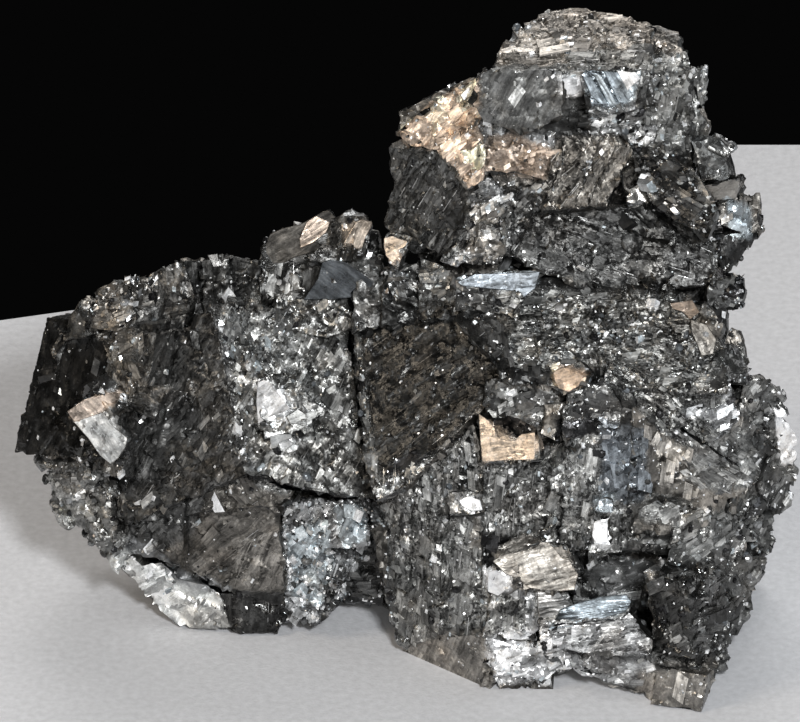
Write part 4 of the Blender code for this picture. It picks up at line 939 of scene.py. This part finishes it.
def grain_group():
    """Streaks along the striae of a face: their height, with crushed grain between, and their shade."""
    group, given, end = new_group(
        "Ore Grain",
        {"Place": "Vector", "Grain": "Vector", "Lines": "Float"},
        {"Height": "Float", "Streak": "Float"})
    depth = vector_node(group, "LENGTH", given["Grain"])
    unit = vector_node(group, "NORMALIZE", given["Grain"])
    surface = new_node(group, "NewGeometry", {})
    along = vector_node(group, "CROSS_PRODUCT", surface.outputs["True Normal"], unit)
    bend = noise_node(group, given["Place"], 210.0, 2.0)
    rows = vector_node(group, "DOT_PRODUCT", given["Place"], unit)
    rows = times(group, plus(group, rows, times(group, bend, 0.0016)), given["Lines"])
    run = vector_node(group, "DOT_PRODUCT", given["Place"], along)
    run = times(group, run, times(group, given["Lines"], 0.14))
    lined = new_node(group, "CombineXYZ", {"X": rows, "Y": run, "Z": bend}).outputs["Vector"]
    fine = noise_node(group, lined, 1.0, 4.0)
    coarse = noise_node(group, lined, 0.28, 2.0)
    crushed = noise_node(group, given["Place"], 1500.0, 4.0)
    crumpled = noise_node(group, given["Place"], 520.0, 2.0)
    height = times(group, plus(group, fine, times(group, coarse, 1.8)), depth)
    height = plus(group, height, times(group, crushed, 0.45))
    thin = range_node(group, fine, 0.38, 0.66, -0.4, 0.55)
    wide = range_node(group, coarse, 0.38, 0.64, -0.5, 0.5)
    feed(group, end, {
        "Height": plus(group, height, times(group, crumpled, 1.2)),
        "Streak": times(group, plus(group, thin, wide), depth),
    })
    return group


def tarnish_group():
    """The tone of the ore, clouded, speckled and streaked, with brown tarnish in places."""
    group, given, end = new_group(
        "Ore Tarnish",
        {"Place": "Vector", "Tone": "Color", "Streak": "Float", "Brown": "Float"},
        {"Color": "Color", "Cloud": "Float"})
    cloud = noise_node(group, given["Place"], 480.0, 6.0)
    speck = noise_node(group, given["Place"], 3600.0, 2.0)
    level = range_node(group, cloud, 0.32, 0.70, 0.62, 1.36)
    level = times(group, level, range_node(group, speck, 0.30, 0.72, 0.85, 1.15))
    streaked = plus(group, times(group, given["Streak"], 0.85), 1.0)
    level = times(group, level, math_node(group, "MAXIMUM", streaked, 0.2))
    shaded = scale_node(group, given["Tone"], level)
    patches = noise_node(group, given["Place"], 150.0, 3.0)
    amount = times(group, range_node(group, patches, 0.50, 0.66, 0.0, 1.0), given["Brown"])
    brown = scale_node(group, vector_node(group, "MULTIPLY", shaded, (0.16, 0.01, -0.14)), amount)
    feed(group, end, {"Color": vector_node(group, "ADD", shaded, brown), "Cloud": cloud})
    return group


def kept_value(tree, name):
    """The outputs of an Attribute node, for a value kept on the faces."""
    node = tree.nodes.new("ShaderNodeAttribute")
    node.attribute_name = name
    return node.outputs


def new_material(name):
    """A material, its node tree, its shader and the place on the piece that its textures follow."""
    material = bpy.data.materials.new(name)
    material.use_nodes = True
    tree = material.node_tree
    place = new_node(tree, "TexCoord", {}).outputs["Object"]
    return material, tree, tree.nodes["Principled BSDF"], place


def ore(name, groups, metal, painted_glint_share, lines, brown, bump):
    """A finish of the ore: its tone, tarnish, striae and glitter come from the faces' own values."""
    material, tree, shader, place = new_material(name)
    tone = kept_value(tree, "tone")
    grain = group_node(tree, groups["grain"], {
        "Place": place,
        "Grain": kept_value(tree, "grain")["Vector"],
        "Lines": lines,
    })
    tarnish = group_node(tree, groups["tarnish"], {
        "Place": place,
        "Tone": tone["Color"],
        "Streak": grain["Streak"],
        "Brown": brown,
    })
    glitter = group_node(tree, groups["glitter"], {
        "Place": place,
        "Amount": kept_value(tree, "glitter")["Fac"],
        "Painted Glint Share": painted_glint_share,
    })
    # The glitter mask's cells get a white base colour and less metal: painted glints, bright under any lamp,
    # on top of the real glints of their tipped mirror normals.
    shine = tree.nodes.new("ShaderNodeMix")
    shine.data_type = "RGBA"
    feed(tree, shine, {
        "Factor": glitter["Mask"],
        MIX_A: scale_node(tree, tarnish["Color"], glitter["Level"]),
        MIX_B: (*TONES["white"], 1.0),
    })
    rough = plus(tree, tone["Alpha"], glitter["Polish"])
    cloudy = range_node(tree, tarnish["Cloud"], 0.3, 0.7, -0.10, 0.08)
    feed(tree, shader, {
        "Base Color": shine.outputs[MIX_RESULT],
        "Metallic": plus(tree, times(tree, glitter["Mask"], -0.25), metal),
        "Roughness": math_node(tree, "ADD", rough, cloudy, clamp=True),
        "Normal": bump_node(tree, grain["Height"], 1.0, bump, {"Normal": glitter["Normal"]}),
    })
    return material


def finishes():
    """The materials of the specimen, made once."""
    if "Ore Faces" not in bpy.data.materials:
        groups = {"glitter": glitter_group(), "grain": grain_group(), "tarnish": tarnish_group()}
        ore("Ore Faces", groups, 0.85, 0.055, 2600.0, 0.25, 0.00010)
        ore("Ore Crystals", groups, 0.55, 0.05, 4200.0, 0.2, 0.00003)
    return bpy.data.materials["Ore Faces"], bpy.data.materials["Ore Crystals"]


GROUND = {}


def part_numbers(facets, count):
    """Which of the four parts each small face belongs to, by the middle of its flat face."""
    middles = np.zeros((count, 3))
    np.add.at(middles, facets, GROUND["centres"] * GROUND["areas"][:, None])
    totals = np.bincount(facets, GROUND["areas"], count)
    middles /= np.maximum(totals, 1e-12)[:, None]
    across, _ = sheet_place(middles)
    part = np.where(middles[:, 2] / MM > CROWN_HEIGHT, 0, 1 + np.digitize(across, PART_EDGES))
    return part[facets]


class SPECIMEN_OT_mass(bpy.types.Operator):
    """Split the crystal mass into fine broken facets and lay the finish of each face"""

    bl_idname = "specimen.mass"
    bl_label = "Crystal Mass"

    def execute(self, context):
        settings = context.scene.specimen_mass
        shape = clean_copy()
        facts = facet_facts(shape, random.Random(SEED))
        layer = split_finely(shape, settings)
        facets = np.array([face[layer] for face in shape.faces])
        mesh = mesh_from(shape, "crystal mass")
        finish = lay_finishes(mesh, facets, facts)
        roughen(mesh, facets, finish, settings)
        values = [blended(mesh, finish["pieces"], finish[name]) for name in ("tone", "grain", "glitter")]
        write_finish(mesh, *values, "CORNER")
        soften(mesh, finish["pieces"])
        finish["facet_areas"] = np.array([fact["area"] for fact in facts])[facets]
        finish["centres"], _, finish["areas"] = read_faces(mesh)
        finish["creases"] = crease_tree(mesh, facets)
        GROUND.update(finish)
        parts = part_numbers(facets, len(facts))
        faces_material, _ = finishes()
        for number, name in enumerate(PARTS):
            part = bmesh.new()
            part.from_mesh(mesh)
            others = [face for face, owner in zip(part.faces, parts) if owner != number]
            bmesh.ops.delete(part, geom=others, context="FACES")
            own = mesh_from(part, "arsenopyrite_" + name)
            dress(bpy.data.objects.new("arsenopyrite_" + name, own), faces_material)
        bpy.data.meshes.remove(mesh)
        return {"FINISHED"}


def picked(weights, count, seed):
    """count different places, drawn by weight."""
    generator = np.random.default_rng(seed)
    share = weights / weights.sum()
    return generator.choice(len(weights), size=count, replace=False, p=share)


def shown(hidden_share):
    """1 for the small faces turned to the front and hidden_share for the others."""
    return np.where(GROUND["seen"], 1.0, hidden_share)


def above(height):
    """Which of the small faces lie above a height."""
    return GROUND["centres"][:, 2] > height


def off_edge():
    """A weight that keeps crystals away from the edges that the front view shows against the room."""
    facing = np.abs(GROUND["normals"] @ np.array(SIGHT))
    return np.clip(3.0 * facing - 0.45, 0.04, 1.0)


def ground_at(number):
    """Normal, direction of the striae, middle and tone of a small face of the mass."""
    normal, along, centre = (Vector(GROUND[name][number]) for name in ("normals", "along", "centres"))
    return normal, along, centre, GROUND["tone"][number]


def standing(normal, along, tilt, spin):
    """Axes of a crystal on a face: z near the face's normal, x near its grain, tipped and turned."""
    side = normal.cross(along).normalized()
    axes = Matrix((along.normalized(), side, normal)).transposed()
    lean = Matrix.Rotation(tilt, 3, Vector((math.cos(spin * 3.7), math.sin(spin * 3.7), 0.0)))
    turn = Matrix.Rotation(spin, 3, "Z")
    return axes @ lean @ turn


def crystal_tone(local, generator):
    """The tone of a small crystal, near its ground's, now and then a white or icy one that is a painted
    glint.
    """
    chance = generator.random()
    # White and icy crystals are painted glints: bright under any lamp.
    if chance < 0.15:
        return TONES["white"] + (generator.uniform(0.20, 0.34),)
    if chance < 0.20:
        return TONES["ice"] + (0.26,)
    if chance < 0.26:
        return TONES["soot"] + (0.16,)
    level = generator.uniform(0.7, 1.5)
    rough = generator.uniform(0.24, 0.42)
    return tuple(min(0.95, value * level) for value in local[:3]) + (rough,)


class Growth:
    """Many small crystals, each with its tone and grain, grown in batches so that it stays quick."""

    def __init__(self):
        self.whole = bmesh.new()
        self.batch = bmesh.new()
        self.counts = []
        self.tones = []
        self.grains = []

    def add(self, kind, matrix, tone, grain, **shape):
        """Grows one crystal with one of Blender's shapes."""
        before = len(self.batch.faces)
        kind(self.batch, matrix=matrix, **shape)
        self.counts.append(len(self.batch.faces) - before)
        self.tones.append(tone)
        self.grains.append(grain)
        if len(self.batch.faces) > BATCH_FACES:
            self.gather()

    def gather(self):
        """Moves the batch into the whole."""
        mesh = bpy.data.meshes.new("batch")
        self.batch.to_mesh(mesh)
        self.batch.clear()
        self.whole.from_mesh(mesh)
        bpy.data.meshes.remove(mesh)

    def finish(self, name, glitter):
        """Makes the piece."""
        self.gather()
        mesh = mesh_from(self.whole, name)
        self.batch.free()
        tones = np.repeat(np.array(self.tones), self.counts, axis=0)
        grains = np.repeat(np.array(self.grains), self.counts, axis=0)
        write_finish(mesh, tones, grains, np.full(len(tones), glitter), "FACE")
        _, crystals = finishes()
        dress(bpy.data.objects.new(name, mesh), crystals)


def cross_grain(axes, depth):
    """The grain of a crystal that is striated along its first axis."""
    return tuple(axes @ Vector((0.0, depth, 0.0)))


def room(place, share):
    """The longest that a crystal may be at a place: a multiple of the distance to the nearest crease."""
    _, _, distance = GROUND["creases"].find(place)
    return share * distance


def block_matrix(centre, axes, size, lean):
    """The place of a unit cube as a rhombic block."""
    skew = Matrix(((1.0, lean, 0.0), (0.0, 1.0, 0.0), (0.0, 0.0, 1.0)))
    shape = axes @ skew @ Matrix.Diagonal(size)
    return Matrix.Translation(centre) @ shape.to_4x4()


class SPECIMEN_OT_druse(bpy.types.Operator):
    """Grow the small crystals that crust the mass"""

    bl_idname = "specimen.druse"
    bl_label = "Druse"

    def execute(self, context):
        settings = context.scene.specimen_growth
        generator = random.Random(SEED + 2)
        draw = generator.uniform
        weights = GROUND["areas"] * (0.05 + GROUND["glitter"] ** 4) * shown(HIDDEN_DRUSE)
        weights = weights * off_edge() * above(LOWEST_CRYSTAL)
        chosen = picked(weights, settings.druse_count, SEED + 3)
        half = len(chosen) // 2
        sizes = (("druse_coarse", chosen[:half], 1.25), ("druse_fine", chosen[half:], 0.75))
        for name, group, share in sizes:
            growth = Growth()
            middle = settings.druse_size * share
            for number in group:
                normal, along, centre, local = ground_at(number)
                size = middle * math.exp(generator.gauss(0.0, 0.50))
                axes = standing(normal, along, draw(0.0, 0.75), draw(-0.5, 0.5))
                centre = centre + normal * size * draw(-0.30, 0.12)
                tone = crystal_tone(local, generator)
                grain = cross_grain(axes, 0.3)
                kind = generator.random()
                if kind < 0.62:
                    sides = (size * draw(0.9, 1.9), size * draw(0.6, 1.1), size * draw(0.5, 1.1))
                    place = block_matrix(centre, axes, sides, 0.36)
                    growth.add(bmesh.ops.create_cube, place, tone, grain, size=1.0)
                elif kind < 0.9:
                    sides = (size * draw(0.8, 1.5), size * 0.8, size)
                    place = block_matrix(centre, axes, sides, 0.25)
                    growth.add(bmesh.ops.create_cone, place, tone, grain, cap_ends=True, segments=4,
                               radius1=0.75, radius2=draw(0.15, 0.5), depth=1.1)
                else:
                    place = block_matrix(centre, axes, (size * 0.55, size * 0.55, size * 0.5), 0.0)
                    growth.add(bmesh.ops.create_icosphere, place, tone, grain, subdivisions=1, radius=1.0)
            growth.finish("arsenopyrite_" + name, 0.15)
        return {"FINISHED"}


class SPECIMEN_OT_nubs(bpy.types.Operator):
    """Set the rounded glossy crystals that stand out of the crust"""

    bl_idname = "specimen.nubs"
    bl_label = "Nubs"

    def execute(self, context):
        settings = context.scene.specimen_growth
        generator = random.Random(SEED + 8)
        draw = generator.uniform
        weights = GROUND["areas"] * np.maximum(GROUND["glitter"] - 0.2, 0.0) * shown(HIDDEN_NUBS)
        # Nubs keep off the warm faces, whose red stands 0.05 or more above their blue.
        cool_toned = GROUND["tone"][:, 0] - GROUND["tone"][:, 2] < 0.05
        weights = weights * above(LOWEST_CRYSTAL) * cool_toned
        growth = Growth()
        for number in picked(weights, settings.nub_count, SEED + 9):
            normal, along, centre, _ = ground_at(number)
            size = draw(0.30, 0.75) * MM
            axes = standing(normal, along, draw(0.0, 0.5), draw(0.0, 6.0))
            centre = centre + normal * size * draw(-0.3, 0.1)
            name = generator.choice(("soot", "soot", "dark", "dark", "iron", "blue", "steel"))
            tone = TONES[name] + (draw(0.14, 0.28),)
            stretch = (size * draw(1.0, 1.5), size, size * draw(0.8, 1.1))
            place = block_matrix(centre, axes, stretch, 0.2)
            growth.add(bmesh.ops.create_uvsphere, place, tone, cross_grain(axes, 0.1),
                       u_segments=7, v_segments=5, radius=1.0)
        growth.finish("arsenopyrite_nubs", 0.1)
        return {"FINISHED"}


class SPECIMEN_OT_scales(bpy.types.Operator):
    """Lay the thin broken plates that step the faces"""

    bl_idname = "specimen.scales"
    bl_label = "Scales"

    def execute(self, context):
        settings = context.scene.specimen_growth
        generator = random.Random(SEED + 4)
        draw = generator.uniform
        weights = GROUND["areas"] * GROUND["relief"] ** 2 * shown(HIDDEN_SCALES)
        weights = weights * (GROUND["facet_areas"] > PLATE_FACE) * above(LOWEST_PLATE) * off_edge()
        growth = Growth()
        for number in picked(weights, settings.scale_count, SEED + 5):
            normal, along, centre, local = ground_at(number)
            length = min(room(centre, 1.7), draw(1.2, 6.0) * MM)
            width = length * draw(0.18, 0.55)
            tilt = draw(0.02, 0.14)
            axes = standing(normal, along, tilt, generator.gauss(0.0, 0.14))
            thick = draw(0.16, 0.36) * MM
            centre = centre + normal * thick * draw(-0.30, 0.15)
            level = min(generator.choice((0.6, 0.8, 1.0, 1.4, 2.0, 2.8)), 0.95 / max(local[:3]))
            tone = tuple(value * level for value in local[:3]) + (local[3],)
            place = block_matrix(centre, axes, (length, width, thick), 0.40)
            growth.add(bmesh.ops.create_cube, place, tone, cross_grain(axes, 0.8), size=1.0)
        growth.finish("arsenopyrite_scales", 0.4)
        return {"FINISHED"}


class SPECIMEN_OT_striae(bpy.types.Operator):
    """Raise the long growth lines on the striated faces"""

    bl_idname = "specimen.striae"
    bl_label = "Striae"

    def execute(self, context):
        settings = context.scene.specimen_growth
        generator = random.Random(SEED + 6)
        draw = generator.uniform
        weights = GROUND["areas"] * np.maximum(GROUND["depth"] - 0.3, 0.0) ** 1.5 * shown(HIDDEN_STRIAE)
        weights = weights * (GROUND["facet_areas"] > STRIA_FACE) * above(LOWEST_PLATE)
        growth = Growth()
        for number in picked(weights, settings.stria_count, SEED + 7):
            normal, along, centre, local = ground_at(number)
            length = min(room(centre, 1.8), draw(1.0, 8.0) * MM)
            width = draw(0.05, 0.12) * MM
            axes = standing(normal, along, draw(0.0, 0.05), generator.gauss(0.0, 0.05))
            centre = centre + normal * width * 0.2
            level = generator.choice((0.0, 0.02, 0.06, 0.30))
            tone = tuple(min(0.9, value + level) for value in local[:3]) + (0.26,)
            place = block_matrix(centre, axes, (length, width, 1.3 * width), 0.0)
            growth.add(bmesh.ops.create_cube, place, tone, cross_grain(axes, 0.2), size=1.0)
        growth.finish("arsenopyrite_striae", 0.2)
        return {"FINISHED"}


def sheet_point(across, up):
    """The place in metres of a spot on the layout sheet."""
    side = across - SHEET_CENTRE[0]
    depth = up * math.sin(PITCH) - SHEET_CENTRE[1]
    return Vector((side, depth, up * math.cos(PITCH))) * MM


def depth_plane(tree, outline):
    """The plane that lies on the mass under an outline: slopes, offset and how uneven the mass is there."""
    spots = np.array(outline)
    low, high = spots.min(0), spots.max(0)
    rows = []
    for across in np.arange(low[0], high[0], PROBE_STEP):
        for up in np.arange(low[1], high[1], PROBE_STEP):
            place = sheet_point(across, up) + SIGHT * SHEET_REACH
            hit, _, _, distance = tree.ray_cast(place, -SIGHT)
            inside = within(np.array([across]), np.array([up]), outline)[0]
            if inside and hit:
                rows.append((across, up, 1.0, (SHEET_REACH - distance) / MM))
    rows = np.array(rows)
    middle = np.median(rows[:, 3])
    rows = rows[np.abs(rows[:, 3] - middle) < PROBE_SPREAD]
    slopes = np.linalg.lstsq(rows[:, :3], rows[:, 3], rcond=None)[0]
    slopes[:2] = np.clip(slopes[:2], -STEEPEST, STEEPEST)
    left = rows[:, 3] - rows[:, :2] @ slopes[:2]
    return slopes[0], slopes[1], float(np.percentile(left, PROUD_SHARE)), float(np.ptp(left))


def plate_shape(tree, outline, lift):
    """A flat crystal that stands on the mass under an outline."""
    slope_across, slope_up, offset, uneven = depth_plane(tree, outline)
    plate = bmesh.new()
    corners = []
    for across, up in outline:
        height = slope_across * across + slope_up * up + offset + lift
        corners.append(plate.verts.new(sheet_point(across, up) + SIGHT * height * MM))
    front = plate.faces.new(corners)
    moved = bmesh.ops.extrude_face_region(plate, geom=[front])["geom"]
    backs = [item for item in moved if isinstance(item, bmesh.types.BMVert)]
    bmesh.ops.translate(plate, vec=-SIGHT * (uneven + PLATE_ROOT) * MM, verts=backs)
    bmesh.ops.recalc_face_normals(plate, faces=plate.faces[:])
    bmesh.ops.bevel(plate, geom=plate.edges[:], offset=PLATE_BEVEL * MM, affect="EDGES", segments=1,
                    profile=0.5, material=-1, clamp_overlap=True)
    bmesh.ops.triangulate(plate, faces=plate.faces[:])
    plate.normal_update()
    return plate


class SPECIMEN_OT_plates(bpy.types.Operator):
    """Set the crisp flat crystals that stand proud of the mass"""

    bl_idname = "specimen.plates"
    bl_label = "Plates"

    def execute(self, context):
        source = clean_copy()
        tree = BVHTree.FromBMesh(source)
        whole = bmesh.new()
        tones, grains, glitters = [], [], []
        for name, tone, rough, glitter, angle, groove, lift, outline in PLATES:
            plate = plate_shape(tree, outline, lift)
            for face in plate.faces:
                normal = face.normal.copy()
                along = sheet_direction(math.radians(angle), normal)
                tones.append(TONES[tone] + (rough,))
                grains.append(tuple(normal.cross(along) * groove))
                glitters.append(glitter)
            mesh = mesh_from(plate, name)
            whole.from_mesh(mesh)
            bpy.data.meshes.remove(mesh)
        source.free()
        mesh = mesh_from(whole, "arsenopyrite_plates")
        write_finish(mesh, tones, grains, glitters, "FACE")
        faces_material, _ = finishes()
        dress(bpy.data.objects.new("arsenopyrite_plates", mesh), faces_material)
        return {"FINISHED"}


def cloth_material(shade):
    """Pale woven cloth."""
    material, tree, shader, place = new_material("Pale Cloth")
    level = range_node(tree, noise_node(tree, place, 900.0, 4.0), 0.3, 0.7, 0.90, 1.06)
    feed(tree, shader, {
        "Roughness": 0.85,
        "Base Color": scale_node(tree, tuple(shade), level),
        "Normal": bump_node(tree, noise_node(tree, place, 2200.0, 2.0), 0.4, 0.0002, {}),
    })
    return material


def lamp(name, azimuth, elevation, distance, size, energy, tint):
    """A soft square lamp that points at the specimen; azimuth runs from the front to the right."""
    data = bpy.data.lights.new(name, "AREA")
    data.shape = "SQUARE"
    data.size = size
    data.energy = energy
    data.color = tint
    side = math.radians(azimuth)
    rise = math.radians(elevation)
    way = Vector((math.sin(side) * math.cos(rise), -math.cos(side) * math.cos(rise), math.sin(rise)))
    item = bpy.data.objects.new(name, data)
    item.location = LAMP_TARGET + way * distance
    item.rotation_euler = way.to_track_quat("Z", "Y").to_euler()
    bpy.context.scene.collection.objects.link(item)


class SPECIMEN_OT_stage(bpy.types.Operator):
    """Lay the pale sheet and set the lamps and the camera"""

    bl_idname = "specimen.stage"
    bl_label = "Stage"

    def execute(self, context):
        settings = context.scene.specimen_stage
        shape = bmesh.new()
        shape.faces.new([shape.verts.new((x, y, 0.0)) for x, y in FLOOR])
        floor = bpy.data.objects.new("pale_sheet", mesh_from(shape, "pale sheet"))
        floor.data.materials.append(cloth_material(settings.cloth))
        context.scene.collection.objects.link(floor)
        world = bpy.data.worlds.new("Dark Room")
        world.use_nodes = True
        world.node_tree.nodes["Background"].inputs["Color"].default_value = (*settings.backdrop, 1.0)
        context.scene.world = world
        for values in LAMPS:
            lamp(*values)
        view = bpy.data.cameras.new("Camera")
        view.lens = 1200.0
        view.sensor_width = 36.0
        view.clip_end = 20.0
        camera = bpy.data.objects.new("Camera", view)
        camera.location = CAMERA_AIM + SIGHT * settings.camera_distance
        camera.rotation_euler = SIGHT.to_track_quat("Z", "Y").to_euler()
        context.scene.collection.objects.link(camera)
        context.scene.camera = camera
        context.scene.view_settings.view_transform = "Standard"
        return {"FINISHED"}


OPERATORS = (
    SPECIMEN_OT_mass, SPECIMEN_OT_druse, SPECIMEN_OT_nubs, SPECIMEN_OT_scales,
    SPECIMEN_OT_striae, SPECIMEN_OT_plates, SPECIMEN_OT_stage,
)


class SPECIMEN_PT_panel(bpy.types.Panel):
    """Sidebar panel with the specimen's pieces."""

    bl_label = "Arsenopyrite Specimen"
    bl_idname = "SPECIMEN_PT_panel"
    bl_space_type = "VIEW_3D"
    bl_region_type = "UI"
    bl_category = "Specimen"

    def draw(self, context):
        scene = context.scene
        for settings in (scene.specimen_mass, scene.specimen_growth, scene.specimen_stage):
            for name in settings.__annotations__:
                self.layout.prop(settings, name)
        for operator in OPERATORS:
            self.layout.operator(operator.bl_idname)


CLASSES = (MassSettings, GrowthSettings, StageSettings, *OPERATORS, SPECIMEN_PT_panel)


def register():
    """Adds the classes and the settings."""
    for kind in CLASSES:
        bpy.utils.register_class(kind)
    bpy.types.Scene.specimen_mass = bpy.props.PointerProperty(type=MassSettings)
    bpy.types.Scene.specimen_growth = bpy.props.PointerProperty(type=GrowthSettings)
    bpy.types.Scene.specimen_stage = bpy.props.PointerProperty(type=StageSettings)


def unregister():
    """Takes the classes and the settings away."""
    del bpy.types.Scene.specimen_stage
    del bpy.types.Scene.specimen_growth
    del bpy.types.Scene.specimen_mass
    for kind in reversed(CLASSES):
        bpy.utils.unregister_class(kind)


def main():
    """Makes the specimen and its stage."""
    register()
    bpy.ops.specimen.mass()
    bpy.ops.specimen.druse()
    bpy.ops.specimen.nubs()
    bpy.ops.specimen.scales()
    bpy.ops.specimen.striae()
    bpy.ops.specimen.plates()
    bpy.ops.specimen.stage()


if __name__ == "__main__":
    main()
